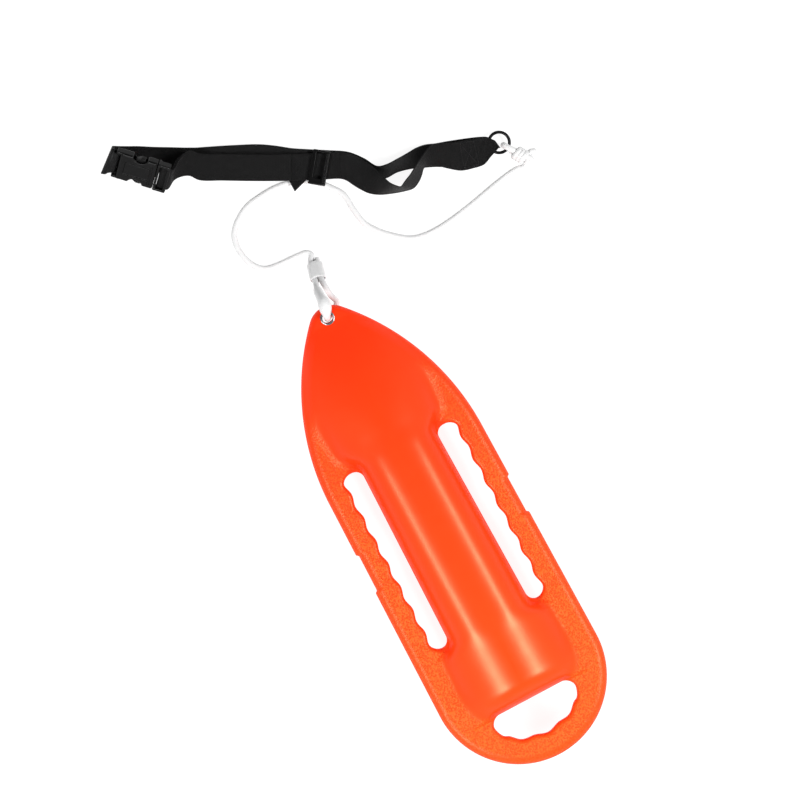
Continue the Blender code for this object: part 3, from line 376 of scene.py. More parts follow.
def block(x, y, z, low, high, r):
    """A box between two corners, with rounded edges."""
    centre = [(a + b) / 2 for a, b in zip(low, high)]
    half = [(b - a) / 2 - r for a, b in zip(low, high)]
    q = [np.abs(place - c) - h for place, c, h in zip((x, y, z), centre, half)]
    outside = np.sqrt(sum(np.maximum(v, 0.0) ** 2 for v in q))
    return outside + np.minimum(np.maximum(np.maximum(q[0], q[1]), q[2]), 0.0) - r


def polygon(x, y, points):
    """A closed polygon without level edges."""
    distance = np.full(np.broadcast(x, y).shape, 1e9)
    inside = np.zeros(distance.shape, bool)
    for i, (ax, ay) in enumerate(points):
        bx, by = points[(i + 1) % len(points)]
        ex, ey = bx - ax, by - ay
        wx, wy = x - ax, y - ay
        t = np.clip((wx * ex + wy * ey) / (ex * ex + ey * ey), 0.0, 1.0)
        distance = np.minimum(distance, np.hypot(wx - ex * t, wy - ey * t))
        inside ^= ((ay > y) != (by > y)) & (x < (bx - ax) * (y - ay) / (by - ay) + ax)
    return np.where(inside, -distance, distance)


def surface_nets(values, origin, step):
    """A quad mesh with one point in each grid cell that the surface crosses."""
    inside = values < 0
    nx, ny, nz = (n - 1 for n in values.shape)
    corners = [(i, j, k) for i in (0, 1) for j in (0, 1) for k in (0, 1)]
    count = np.zeros((nx, ny, nz), np.int8)
    for i, j, k in corners:
        count += inside[i:nx + i, j:ny + j, k:nz + k]
    active = (count > 0) & (count < 8)
    cells = np.argwhere(active)
    index = np.full(active.shape, -1, np.int64)
    index[active] = np.arange(len(cells))
    # each point is the mean of the crossings on its cell's edges
    total = np.zeros((len(cells), 3))
    hits = np.zeros(len(cells))
    for a in corners:
        for axis in range(3):
            if a[axis]:
                continue
            b = tuple(v + (n == axis) for n, v in enumerate(a))
            value_a = values[tuple((cells + a).T)]
            value_b = values[tuple((cells + b).T)]
            cross = (value_a < 0) != (value_b < 0)
            t = np.where(cross, value_a / np.where(cross, value_a - value_b, 1.0), 0.0)
            point = np.array(a, float) + t[:, None] * (np.array(b, float) - np.array(a, float))
            total[cross] += point[cross]
            hits += cross
    verts = (cells + total / hits[:, None]) * step + np.asarray(origin, float)
    # a quad round every grid edge that the surface crosses
    quads = []
    for axis in range(3):
        u, v = (axis + 1) % 3, (axis + 2) % 3
        size = inside.shape
        low = [slice(1, size[d] - 1) for d in range(3)]
        high = list(low)
        low[axis], high[axis] = slice(0, size[axis] - 1), slice(1, size[axis])
        a, b = inside[tuple(low)], inside[tuple(high)]
        for sign in (True, False):
            at = np.argwhere((a != b) & (a == sign))
            at[:, u] += 1
            at[:, v] += 1
            around_edge = []
            for du, dv in ((1, 1), (0, 1), (0, 0), (1, 0)):
                cell = at.copy()
                cell[:, u] -= du
                cell[:, v] -= dv
                around_edge.append(index[tuple(cell.T)])
            quad = np.stack(around_edge, 1)
            quads.append(quad if sign else quad[:, ::-1])
    return verts, np.concatenate(quads)


def gradient(shape, points, reach=0.25):
    slope = np.empty_like(points)
    for axis in range(3):
        high, low = points.copy(), points.copy()
        high[:, axis] += reach
        low[:, axis] -= reach
        slope[:, axis] = (shape(*high.T) - shape(*low.T)) / (2 * reach)
    return slope


def settle(shape, verts, quads, rounds, relax):
    """Spreads the points evenly along the surface, then puts them exactly on it."""
    edges = np.concatenate([quads[:, [0, 1]], quads[:, [1, 2]], quads[:, [2, 3]], quads[:, [3, 0]]])
    for turn in range(rounds):
        total = np.zeros_like(verts)
        hits = np.zeros(len(verts))
        for a, b in ((0, 1), (1, 0)):
            for axis in range(3):
                total[:, axis] += np.bincount(edges[:, a], verts[edges[:, b], axis], len(verts))
            hits += np.bincount(edges[:, a], minlength=len(verts))
        move = total / hits[:, None] - verts
        slope = gradient(shape, verts)
        normal = slope / np.maximum(np.linalg.norm(slope, axis=1), 0.2)[:, None]
        move -= (move * normal).sum(1)[:, None] * normal
        verts = verts + move * relax
        for _ in range(2 if turn == rounds - 1 else 1):
            value = shape(*verts.T)
            slope = gradient(shape, verts)
            push = value / np.maximum((slope * slope).sum(1), 0.09)
            verts = verts - slope * np.clip(push, -1.2, 1.2)[:, None]
    return verts


def skin(shape, axes, step, rounds=2, relax=0.35):
    """The surface of a shape, sampled on the grid of three axes."""
    xs, ys, zs = axes
    values = shape(xs[:, None, None], ys[None, :, None], zs[None, None, :])
    values = np.broadcast_to(values, (len(xs), len(ys), len(zs)))
    verts, quads = surface_nets(values, (xs[0], ys[0], zs[0]), step)
    return settle(shape, verts, quads, rounds, relax), quads


# ------------------------------------------------------------------ the hull
# A flat ring with three openings, and a rounded body along its middle.
TIP_Y, TAIL_Y = 360.0, -234.0                # nose tip; centre of the round tail
SHOULDER, NOSE_R, NOSE_LENGTH = 122.5, 357.8, 256.4
NOSE_START = TIP_Y - NOSE_LENGTH
TAIL_R = 126.0
TIP_R = 34.1
TIP_CENTRE = TIP_Y - TIP_R
HOLE_Y, HOLE_R = 343.0, 9.0                  # the line's hole in the nose
PORT_Y, PORT_R, PORT_TOP = -341.0, 6.0, 58.2     # filling port under the tail
MID, RING_HALF = 70.0, 18.0                  # mid-height, and half the ring's thickness
BODY_H, BELLY_H = 70.0, 73.0                 # the body above and below mid-height

SLOT_Y, SLOT_HALF = -8.0, 140.0              # side openings: centre and half-length
SLOT_OUT, SLOT_WAVE, WAVE_PITCH, WAVE_PHASE = 89.6, 1.85, 37.0, 12.5
TAIL_SLOT_R, TAIL_WAVE, TAIL_SPREAD = 89.0, 1.7, math.radians(43.0)


def outline_distance(x, y):
    ax = np.abs(x)
    nose = np.hypot(ax + NOSE_R - SHOULDER, y - NOSE_START) - NOSE_R
    lean = (SHOULDER - TAIL_R) / (NOSE_START - TAIL_Y)
    flank = (ax - (TAIL_R + (y - TAIL_Y) * lean)) / math.hypot(1.0, lean)
    tail = np.hypot(ax, y - TAIL_Y) - TAIL_R
    side = np.where(y > NOSE_START, nose, np.where(y > TAIL_Y, flank, tail))
    # the tip arc takes over where it meets the nose arc, at x = 24.8, y = 349.3
    tip = np.hypot(ax, y - TIP_CENTRE) - TIP_R
    side = np.where((y - TIP_CENTRE) > ax * (349.3 - TIP_CENTRE) / 24.8, tip, side)
    # the shallow flat in the middle of each handle
    inside = np.minimum(y + 33.0, 24.0 - y)
    return side + 3.4 * ease((inside + 2.2) / 3.4)


def slot_inner(y):
    return 60.2 + 4.3 * (SLOT_Y + SLOT_HALF - y) / (2 * SLOT_HALF)


def side_slot_distance(x, y):
    """The two side openings, their outer edges waved."""
    inner = slot_inner(y)
    outer = SLOT_OUT + SLOT_WAVE * np.cos(math.tau * (y - WAVE_PHASE) / WAVE_PITCH)
    half, centre = (outer - inner) / 2.0, (outer + inner) / 2.0
    corner = np.minimum(13.5, half - 0.3)
    return rounded(np.abs(np.abs(x) - centre) - half, np.abs(y - SLOT_Y) - SLOT_HALF, corner)


def tail_slot_distance(x, y):
    angle = np.arctan2(x, -(y - TAIL_Y))
    fade = 1.0 - ease((np.abs(angle) / TAIL_SPREAD - 0.85) / 0.15)
    wave = TAIL_WAVE * np.cos(angle / TAIL_SPREAD * math.pi * 3.5) * fade
    arc = np.hypot(x, y - TAIL_Y) - (TAIL_SLOT_R + wave)
    front = rounded(y + 269.5, np.abs(x) - 65.4, 17.0)
    return rounded(front, arc, 9.0)


def crown_power(width, slope=0.35, offset=28.0):
    """The roundness that gives the crown this slope at this offset, whatever the width."""
    low, high = np.full(width.shape, 1.45), np.full(width.shape, 3.4)
    for _ in range(30):
        p = (low + high) / 2
        u = offset / width
        s = BODY_H / width * u ** (p - 1.0) * (1.0 - u ** p) ** (1.0 / p - 1.0)
        low, high = np.where(s > slope, p, low), np.where(s > slope, high, p)
    return (low + high) / 2


STATIONS = np.arange(-300.0, 340.01, 1.0)


def body_profiles():
    """Half-width, half-height and roundness of the body's section at each station."""
    y = STATIONS
    waist = slot_inner(y) - 0.7
    past = np.maximum(y - NOSE_START, 0.0)
    nose = SHOULDER - NOSE_R + np.sqrt(np.maximum(NOSE_R ** 2 - past ** 2, 0.0))
    # beyond the side openings the body spreads into the ring
    wide = np.where(y > 0, np.minimum(84.0 + 0.17 * (y - 154.0), nose - 1.8),
                    89.0 - 0.065 * (y + 160.0))
    spread = ease(np.where(y > 0, (y - 130.0) / 30.0, (-146.0 - y) / 24.0))
    width = waist + (wide - waist) * spread
    width = width - 12.0 * clamp01((-236.0 - y) / 26.0) ** 2.2
    front = np.maximum(1.0 - clamp01((y - 90.0) / 252.0) ** 2.1, 0.0) ** 0.72
    rear = np.maximum(1.0 - clamp01((-232.0 - y) / 40.0) ** 2.6, 0.0) ** (1 / 2.1)
    height = BODY_H * front * rear
    for _ in range(4):
        width = np.convolve(np.pad(width, 3, mode="edge"), [1 / 7] * 7, mode="valid")
    return width, np.maximum(height, 9.0), crown_power(np.maximum(width, 58.0))


WIDTHS, HEIGHTS, POWERS = body_profiles()
WIDTH_SLOPES, HEIGHT_SLOPES = np.gradient(WIDTHS, STATIONS), np.gradient(HEIGHTS, STATIONS)
BELLY_POWER = 2.6


def body_distance(x, y, z):
    width, height, width_slope, height_slope, p = (
        np.interp(y, STATIONS, table)
        for table in (WIDTHS, HEIGHTS, WIDTH_SLOPES, HEIGHT_SLOPES, POWERS))
    dz = z - MID
    height = np.where(dz < 0, height * BELLY_H / BODY_H, height)
    u, v = np.abs(x) / width, np.abs(dz) / height
    # the belly keeps nearer to one roundness
    p = np.where(dz < 0, BELLY_POWER + (p - BELLY_POWER) * 0.45, p)
    up, vp = np.maximum(u, 1e-4) ** p, np.maximum(v, 1e-4) ** p
    q = (up + vp) ** (1.0 / p)
    # dividing by the slope of q turns it into a distance
    k = q ** (1.0 - p)
    gx = k * up / np.maximum(u, 1e-4) / width
    gz = k * vp / np.maximum(v, 1e-4) / height
    gy = k * (up * width_slope / width + vp * height_slope / height)
    section_slope = np.hypot(gx, gz)
    gy = np.clip(gy, -3.0 * section_slope, 3.0 * section_slope)
    d = (q - 1.0) / np.maximum(np.sqrt(gx * gx + gy * gy + gz * gz), 0.006)
    # never closer than the box round the section, and closed at both ends inside the ring
    d = np.maximum(d, np.maximum(np.abs(x) - width, np.abs(dz) - height))
    d = np.where(y < 0, rounded(d, -269.3 - y, 8.0), d)
    return np.maximum(d, y - 333.0)


def hull_distance(x, y, z):
    d_out = outline_distance(x, y)
    d_side = side_slot_distance(x, y)
    d_tail = tail_slot_distance(x, y)
    d_hole = np.hypot(x, y - HOLE_Y) - HOLE_R
    up = np.abs(z - MID) - RING_HALF
    ring = rounded(d_out, up, 10.5 + 2.5 * ease((262.0 - y) / 70.0))
    for opening, edge in ((d_side, 6.0), (d_tail, 6.5), (d_hole, 2.0)):
        ring = np.maximum(ring, rounded(-opening, up, edge))
    # a broad fillet from ring to body, broader at the tail and tight inside the openings
    broad = 13.0 + 9.0 * ease((-y - 205.0) / 40.0)
    fillet = 1.5 + (broad * ease((-d_out - 1.0) / 16.0)
                    * ease((np.minimum(d_side, d_tail) - 0.5) / 9.0))
    shell = union(ring, body_distance(x, y, z), fillet)
    port = np.maximum(np.hypot(x, y - PORT_Y) - PORT_R, z - PORT_TOP)
    shell = np.maximum(shell, -port)
    # flat land of the belly, its edge eased over 3 mm
    h = np.maximum(3.0 - np.abs(shell + z), 0.0) / 3.0
    return np.maximum(shell, -z) + h * h * 0.75


def grain_amount(x, y, z):
    """How strongly the moulded texture shows: on the ring, clear of edges, fading to the nose."""
    openings = np.minimum(side_slot_distance(x, y), tail_slot_distance(x, y))
    off_body = ease((body_distance(x, y, z) - 1.5) / 5.0)
    grain = off_body * ease((-outline_distance(x, y) - 8.5) / 4.0)
    grain *= ease((openings - 2.0) / 5.0)
    grain = np.maximum(grain, 0.35 * off_body * ease((250.0 - y) / 60.0))
    return grain * (ease((292.0 - y) / 60.0) * (0.5 + 0.5 * ease((150.0 - y) / 170.0)))


def build_hull():
    step = 1.9
    axes = (np.arange(-130.0, 130.1, step), np.arange(-364.0, 364.1, step),
            np.arange(-3.0 * step, 143.0 + 2 * step, step))
    verts, quads = skin(hull_distance, axes, step, rounds=3)
    to_object("can_hull", verts, quads, HULL, "can", "hull_shell",
              attributes={"grain": grain_amount(*verts.T)})


def build_foam():
    """The filling, just inside the body's wall."""
    step = 4.0
    axes = (np.arange(-96.0, 96.1, step), np.arange(-266.0, 330.1, step),
            np.arange(-8.0, 148.1, step))

    def filling(x, y, z):
        return np.maximum(np.maximum(body_distance(x, y, z) + 4.2, 3.8 - z), y - 312.0)

    verts, quads = skin(filling, axes, step)
    to_object("can_foam", verts, quads, FOAM, "can", "foam_core")


build_hull()
build_foam()

# ------------------------------------------------------------------ layout of line and belt
TURN = math.radians(28.1)
COS, SIN = math.cos(TURN), math.sin(TURN)


def lay(x, y, z):
    """A point of the line and belt's own frame, in the can's frame."""
    return np.array((COS * x + SIN * y, HOLE_Y - SIN * x + COS * y, z))


def run_length(points):
    """Length along a path at each of its points."""
    return np.concatenate([[0.0], np.cumsum(np.linalg.norm(np.diff(points, axis=0), axis=1))])


def spline(points, step):
    """Centripetal Catmull-Rom through the points, resampled to even steps."""
    def blend(a, b, ta, tb, t):
        return (tb - t) / (tb - ta) * a + (t - ta) / (tb - ta) * b

    p = np.asarray(points, float)
    p = np.vstack([2 * p[0] - p[1], p, 2 * p[-1] - p[-2]])
    out = []
    for i in range(1, len(p) - 2):
        four = p[i - 1:i + 3]
        knots = [0.0]
        for a, b in zip(four, four[1:]):
            knots.append(knots[-1] + max(np.linalg.norm(b - a), 1e-6) ** 0.5)
        n = max(4, int(np.linalg.norm(four[2] - four[1]) / step * 2))
        t = np.linspace(knots[1], knots[2], n, endpoint=False)[:, None]
        level = list(four)
        for span in (1, 2):
            level = [blend(level[k], level[k + 1], knots[k], knots[k + span], t)
                     for k in range(4 - span)]
        out.append(blend(level[0], level[1], knots[1], knots[2], t))
    dense = np.vstack(out + [p[-2:-1]])
    s = run_length(dense)
    at = np.linspace(0.0, s[-1], max(2, int(round(s[-1] / step)) + 1))
    return np.stack([np.interp(at, s, column) for column in dense.T], 1)


# ------------------------------------------------------------------ the tow line's path
ROPE_R, ROPE_Z = 4.5, 4.8
LEG_SIDE = 4.75                              # each leg's offset from the splice's axis


def away(r, side, z):
    """A point at a distance from the nose hole along the splice, and to its side."""
    ux, uy = -0.235, 0.972
    return lay(ux * r + uy * side, uy * r - ux * side, z)


def leg_z(r):
    """Height of the two legs where they slope down from the nose."""
    return 40.0 - 1.018 * (r - 56.0)


def on_floor(*points):
    return [lay(x, y, ROPE_Z) for x, y in points]


# (distance, side, height): the line's spliced end, going in under the nose
first_leg = [away(*row) for row in (
    (86, 4.6, 10.5), (70, LEG_SIDE, leg_z(70)), (56, LEG_SIDE, leg_z(56)), (46, 7, 45.0),
    (31, 12, 45.5), (20.5, 18, 43.5), (9, 12.5, 42), (2.5, 2.6, 43), (0, 0, 49))]
# up through the hole, over the nose and down
second_leg = [away(*row) for row in (
    (0, 0, 60), (0, 0, 80), (0.5, 0, 91), (4.0, 0, 97.4), (12, 0.4, 100.6), (21, 0.4, 98.8),
    (31, -2.2, 86.5), (42, -4.4, 61), (49, -LEG_SIDE, leg_z(49)), (56, -LEG_SIDE, leg_z(56)),
    (70, -LEG_SIDE, leg_z(70)), (84, -LEG_SIDE, leg_z(84)))]
second_leg.append(lay(-24, 92, 6.2))

BEND_1, BEND_2, BEND_3, BEND_4 = (-99, 73), (-129, 140), (22, 178), (155, 127)
floor_run = on_floor(
    (-31, 94), (-40, 91), (-53, 85), (-66, 79), (-78, 74), (-89, 71.5), BEND_1,
    (-112, 80), (-122, 90), (-130, 103), (-134, 117), (-133, 129), BEND_2,
    (-116, 160), (-98, 174), (-78, 186), (-56, 194), (-33, 197), (-12, 194), (6, 187), BEND_3,
    (36, 157), (51, 138), (69, 127), (93, 119), (120, 115), (138, 119), BEND_4,
    (177, 141), (207, 164), (233, 186))
floor_run.append(lay(257, 205, ROPE_Z + 0.4))

# the knot: three turns round the line, closing the loop that passes through the belt's ring
RING_AT = np.array((245.0, 252.0))
KNOT_AT = np.array((277.0, 233.0))
RING_MAJOR, RING_WIRE, RING_Z = 14.75, 2.25, 10.85
KNOT_Z = 11.6
knot_way = (KNOT_AT - RING_AT) / np.linalg.norm(KNOT_AT - RING_AT)
knot_side = np.array((-knot_way[1], knot_way[0]))
crossing = RING_AT + knot_way * RING_MAJOR


def at_loop(reach, side, z):
    """A point measured from the ring's wire towards the knot."""
    return lay(*(crossing + knot_way * reach + knot_side * side), z)


# (reach, side, height): through the knot, round the ring's wire and back
ring_loop = [lay(270, 213.5, 6.0), lay(281, 217.5, 7.6)] + [at_loop(*row) for row in (
    (34.5, -1.5, 9.6), (37.5, 2.6, 11.4), (33.0, 3.6, 12.0), (27.0, 0.8, KNOT_Z),
    (20.0, 0.0, KNOT_Z), (12.5, 1.4, 13.6), (7, 0.6, 16.6), (1.0, 0, 17.6), (-4.9, 0, 15.6),
    (-7.2, 0, RING_Z), (-5.2, 0, 6.2), (0, 0, 4.55), (6, -0.6, 4.6), (11.0, -2.5, 5.0))]
turns = []
for k in range(0, 31):
    angle = math.radians(-110.0 - 36.0 * k)
    turns.append(at_loop(13.0 + 5.2 * k / 10.0, 6.6 * math.cos(angle),
                         max(KNOT_Z + 6.7 * math.sin(angle), ROPE_R + 0.4)))
free_end = [at_loop(31.0, 11.0, 10.0), at_loop(35.0, 15.5, 7.0)]


# ------------------------------------------------------------------ the tow line's pieces
STRANDS, LAY_LENGTH = 8, 15.0
AROUND = 32                                  # points round the rope
BRAID_DEPTH = 0.42


def carried_frames(path):
    """Tangents and two cross directions carried along a path without twist."""
    tangent = np.gradient(path, axis=0)
    tangent /= np.linalg.norm(tangent, axis=1)[:, None]
    side = np.empty_like(path)
    other = np.empty_like(path)
    v = np.cross(tangent[0], (0.0, 0.0, 1.0))
    v = v / np.linalg.norm(v)
    for i, way in enumerate(tangent):
        v = v - way * v.dot(way)
        v /= np.linalg.norm(v)
        side[i] = v
        other[i] = np.cross(way, v)
    return tangent, side, other


def braid(theta, s):
    """Height of the braided cover, from 0 in its grooves to 1 on its crests."""
    a = STRANDS * (theta / math.tau + s / LAY_LENGTH)
    b = STRANDS * (theta / math.tau - s / LAY_LENGTH)
    over = (np.floor(a) + np.floor(b)) % 2 < 1
    fa, fb = a - np.floor(a), b - np.floor(b)
    across, along = np.where(over, fa, fb), np.where(over, fb, fa)
    bulge = np.clip(1.0 - (2.0 * across - 1.0) ** 2, 0, 1) ** 0.75
    return bulge * (0.55 + 0.45 * np.sin(math.pi * along))


def swollen_radius(path, s):
    """The line is fatter over the nose, where its own end is buried in it."""
    def length_at(point):
        return s[int(np.argmin(np.linalg.norm(path - point, axis=1)))]

    start = length_at(lay(0, 0, 80.0))
    end = length_at(away(49, -LEG_SIDE, leg_z(49)))
    amount = ease((s - start - 10.0) / 18.0) * ease((end - 2.0 - s) / 22.0)
    widest = np.exp(-((s - start - 34.0) / 11.0) ** 2)
    return ROPE_R + (2.7 + 2.3 * widest) * amount


class Rope:
    """A braided rope along a path, from which pieces are cut with matching ends."""

    def __init__(self, path):
        self.path = path
        self.tangent, side, other = carried_frames(path)
        length = run_length(path)
        theta, s = np.meshgrid(np.linspace(0.0, math.tau, AROUND, endpoint=False), length)
        self.crest = braid(theta, s)
        r = swollen_radius(path, length)[:, None] - BRAID_DEPTH + BRAID_DEPTH * self.crest
        self.rings = (path[:, None, :] + side[:, None, :] * (r * np.cos(theta))[:, :, None]
                      + other[:, None, :] * (r * np.sin(theta))[:, :, None])

    def nearest(self, point):
        return int(np.argmin(np.linalg.norm(self.path - point, axis=1)))

    def melted_end(self, i, way):
        """Three rings that dome the cut at point i, going outwards."""
        return np.stack([self.path[i] + (self.rings[i] - self.path[i]) * math.cos(k)
                         + way * ROPE_R * 0.55 * math.sin(k) for k in (0.45, 0.9, 1.25)])

    def piece(self, name, first, last, body=None, stands_for=None,
              round_start=False, round_end=False):
        parts = [self.rings[first:last + 1]]
        if round_start:
            parts.insert(0, self.melted_end(first, -self.tangent[first])[::-1])
        if round_end:
            parts.append(self.melted_end(last, self.tangent[last]))
        rings = np.concatenate(parts)
        crest = np.pad(self.crest[first:last + 1],
                       ((3 * round_start, 3 * round_end), (0, 0)), constant_values=0.6)
        n = len(rings)
        verts = np.vstack([rings.reshape(-1, 3), rings[0].mean(0), rings[-1].mean(0)])
        centre_0, centre_1 = len(verts) - 2, len(verts) - 1
        k = np.arange(0, AROUND, 2)
        beyond = (k + 2) % AROUND
        base = (n - 1) * AROUND
        cap_0 = np.stack([np.full(len(k), centre_0), beyond, k + 1, k], 1)
        cap_1 = np.stack([np.full(len(k), centre_1), base + k, base + k + 1, base + beyond], 1)
        faces = np.concatenate([grid_quads(n, AROUND), cap_0, cap_1])
        crest = np.concatenate([crest.ravel(), [0.5, 0.5]])
        return to_object(name, verts, faces, ROPE, body, stands_for,
                         attributes={"crest": crest})


def build_line():
    line = Rope(spline(first_leg + second_leg + floor_run + ring_loop + turns + free_end,
                       0.55))
    cuts = [line.nearest(point) for point in
            on_floor((-66, 79), (-133, 117), (-56, 194), (69, 127), (207, 164))]
    line.piece("rope_eye", 0, cuts[0], "line_eye", "tow_line_eye", round_start=True)
    # each run bends between the bodies on either side of its bend
    # each run is baked in place, attached to no body, and its CAD piece is hidden
    bodies = ["line_eye", "line_a", "line_b", "line_c", "line_d"]
    for i, bend in enumerate(on_floor(BEND_1, BEND_2, BEND_3, BEND_4)):
        obj = line.piece(f"rope_run_{i + 1}", cuts[i], cuts[i + 1])
        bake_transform(obj)
        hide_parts("tow_" + bodies[i + 1])
    line.piece("rope_knot", cuts[4], len(line.path) - 1, "line_d", "tow_line_knot",
               round_end=True)


def build_whipping():
    """The sleeve of whipping wound round both legs of the splice."""
    count, pitch = 56, 1.9
    centre = np.array([away(r, 0.0, leg_z(r))
                       for r in np.linspace(57.0, 80.5, 120)])
    tangent = centre[-1] - centre[0]
    tangent /= np.linalg.norm(tangent)
    across = away(0, 1, 0) - away(0, 0, 0)
    across /= np.linalg.norm(across)
    up = np.cross(tangent, across)
    up /= np.linalg.norm(up)
    theta = np.linspace(0, math.tau, count, endpoint=False)
    s = np.linalg.norm(centre - centre[0], axis=1)
    crest = np.abs(np.sin(math.pi * (s[:, None] / pitch + theta[None, :] / math.tau))) ** 0.7
    end = np.clip(np.minimum(s, s[-1] - s) / 2.2, 0.0, 1.0)[:, None]

    def ovals(wide, high):
        return (centre[:, None, :] + across * (wide * np.cos(theta))[..., None]
                + up * (high * np.sin(theta))[..., None])

    outer = ovals(10.6 + 0.95 * np.sqrt(end) + 0.55 * crest * end,
                  5.9 + 0.85 * np.sqrt(end) + 0.55 * crest * end)
    rings = np.concatenate([outer, ovals(10.3, 5.6)[::-1]])
    # the crests also feed the rope material's painted shade, grey in the grooves between the turns
    crests = np.concatenate([crest, np.zeros(crest.shape)]).ravel()
    to_object("rope_whipping", rings.reshape(-1, 3), grid_quads(len(rings), count, closed=True),
              ROPE, "line_eye", "splice_sleeve",
              attributes={"crest": crests}, outward=True)


build_line()
build_whipping()


# ------------------------------------------------------------------ buckle frame
def local_frame(origin, heading, roll=0.0):
    """A function that places the points of a frame turned about Z, then rolled about its X."""
    up = np.array((0.0, 0.0, 1.0))
    axis_x = np.array((math.cos(heading), math.sin(heading), 0.0))
    level_y = np.array((-math.sin(heading), math.cos(heading), 0.0))
    axis_y = level_y * math.cos(roll) + up * math.sin(roll)
    axis_z = -level_y * math.sin(roll) + up * math.cos(roll)
    return lambda x, y, z: origin + axis_x * x + axis_y * y + axis_z * z


in_buckle = local_frame(lay(-246.0, 206.0, 23.4), -TURN + math.radians(-17.0), math.radians(40.0))

# ------------------------------------------------------------------ the belt's path
# The belt is one strap, given by pairs of points on its two edges.
WEB_T, WEB_HALF = 1.5, 19.0
WEB_W = 2 * WEB_HALF
LOW_Z, RAISED_Z, TOP_Z, DOUBLED_Z = 1.05, 10.35, 14.05, 15.85
RUN_SLOPE = 0.04                             # how the upper run leans across the layout
BAR_HALF = 1.2
WRAP = BAR_HALF * math.sqrt(2.0) + 0.3 + WEB_T / 2
DIAG = WRAP * math.sqrt(0.5)
SOCKET_BAR_X, INNER_BAR_X, OUTER_BAR_X = -60.3, 7.8, 17.2


def at_bar(*rows):
    """Pairs squarely across the buckle, from rows of its (x, z)."""
    return [(in_buckle(x, WEB_HALF, z), in_buckle(x, -WEB_HALF, z)) for x, z in rows]


def edges(*rows):
    """Pairs from rows of x, y, z on one edge, then x, y, z on the other."""
    return [(lay(*row[:3]), lay(*row[3:])) for row in rows]


def straight(x, y, z):
    """A level pair, one edge at y and the other a strap's width below it."""
    return lay(x, y, z), lay(x, y - WEB_W, z)


def rise(x):
    """Height of the lower run, which climbs on to the line."""
    t = min(1.0, max(0.0, (x + 204.0) / 47.0))
    return LOW_Z + (RAISED_Z - LOW_Z) * (0.5 - 0.5 * math.cos(math.pi * t))


def run_y(x):
    """The +Y edge of the upper run."""
    return 236.6 + RUN_SLOPE * (x + 12.0) + 6.2 * min(1.0, max(0.0, (-50.0 - x) / 130.0)) ** 1.5


# round the socket half's bar, and down to the floor
socket_loop = at_bar(
    (SOCKET_BAR_X - 9.5, -WRAP - 0.2), (SOCKET_BAR_X - 5.0, -WRAP), (SOCKET_BAR_X, -WRAP),
    (SOCKET_BAR_X + DIAG, -DIAG), (SOCKET_BAR_X + WRAP, 0.0), (SOCKET_BAR_X + DIAG, DIAG),
    (SOCKET_BAR_X, WRAP), (SOCKET_BAR_X - 5.0, WRAP + 0.3))
socket_loop += edges(
    (-304, 244, 34.5, -318, 206.5, 13.5), (-307, 246.5, 27, -323.5, 207.0, 10.5),
    (-307, 247, 16, -324.5, 207.5, 6.0), (-302, 247, 6, -321, 207.5, 2.4),
    (-294, 247, 1.6, -312, 209, LOW_Z), (-284, 247, LOW_Z, -300, 209, LOW_Z))
# the lower run, towards the ring: (x, y) of its +Y edge, then edge pairs
lower_run = [straight(x, y, rise(x)) for x, y in (
    (-270, 247), (-250, 246), (-225, 245.5), (-204, 245), (-196, 245), (-188, 245),
    (-180, 245.5), (-172, 246), (-164, 246.5), (-157, 247), (-130, 248.5), (-100, 249.5),
    (-75, 247.5), (-52, 244), (-30, 242.5), (0, 241))]
lower_run += edges(
    (30, 238.5, RAISED_Z, 27, 200.5, RAISED_Z), (52, 229.5, 11.6, 46, 197, RAISED_Z),
    (70, 218.5, 20.0, 67, 197.5, 9.5), (84, 220.5, 30.5, 84, 201, 8.5),
    (99, 228.0, 34.0, 99, 209, 7.5), (113, 236.0, 31.0, 118, 214, 6.5),
    (126, 244, 22, 138, 216, 4.5), (139, 249, 12, 153, 217, 2.5),
    (154, 251, 5.0, 163, 217, LOW_Z + 0.3), (170, 254, 1.8, 175, 217, LOW_Z),
    (186, 256.5, LOW_Z, 190, 219, LOW_Z), (204, 259, LOW_Z, 207, 221, LOW_Z),
    (219, 260.5, LOW_Z, 222, 226, LOW_Z), (229, 260, LOW_Z, 234, 236, LOW_Z),
    (235, 257, LOW_Z + 0.6, 241, 242.5, LOW_Z + 0.6))
ring_fold = edges(
    (238, 255, 4.0, 245.5, 244.5, 4.0), (239, 254.3, 8.0, 246.5, 244, 8.0),
    (237.6, 255.2, 12.2, 245, 244.6, 12.2), (232, 257.5, 14.6, 241.5, 240.5, 14.8))
ring_return = edges(
    (224, 258.5, 14.6, 233, 231, 15.2), (214, 258, 14.3, 224, 220.5, 15.4),
    (200, 255.5, 14.3, 207, 214.5, 14.8), (183, 252.5, 15.5, 190, 211.5, 14.3),
    (170, 251, 18.5, 172, 214.5, 14.3), (158, 250.5, 24.0, 160, 217.5, 14.3))
twist = edges(
    (148.5, 248, 30.0, 152.5, 218.0, 14.5), (139, 238, 37.5, 145, 218, 14.6),
    (127, 220, 44.5, 137.5, 215, 14.8), (117, 204.5, 46.5, 134.5, 205, 15),
    (110.5, 196.5, 47, 131, 196.5, 15), (106.5, 190.5, 47.5, 123, 186.5, 15),
    (104, 188, 48.5, 109, 182, 15), (99.5, 189, 48, 93, 179, 15),
    (89, 194, 43.5, 75, 177, 15), (75, 207, 33, 59, 179, 15), (63, 218, 22, 46, 185, 15),
    (51, 226, 17, 36, 191, 14.4), (38, 233.5, 14.6, 28, 196.5, 14.05))
upper_run = [straight(x, run_y(x), TOP_Z) for x in (18, -5, -30)]
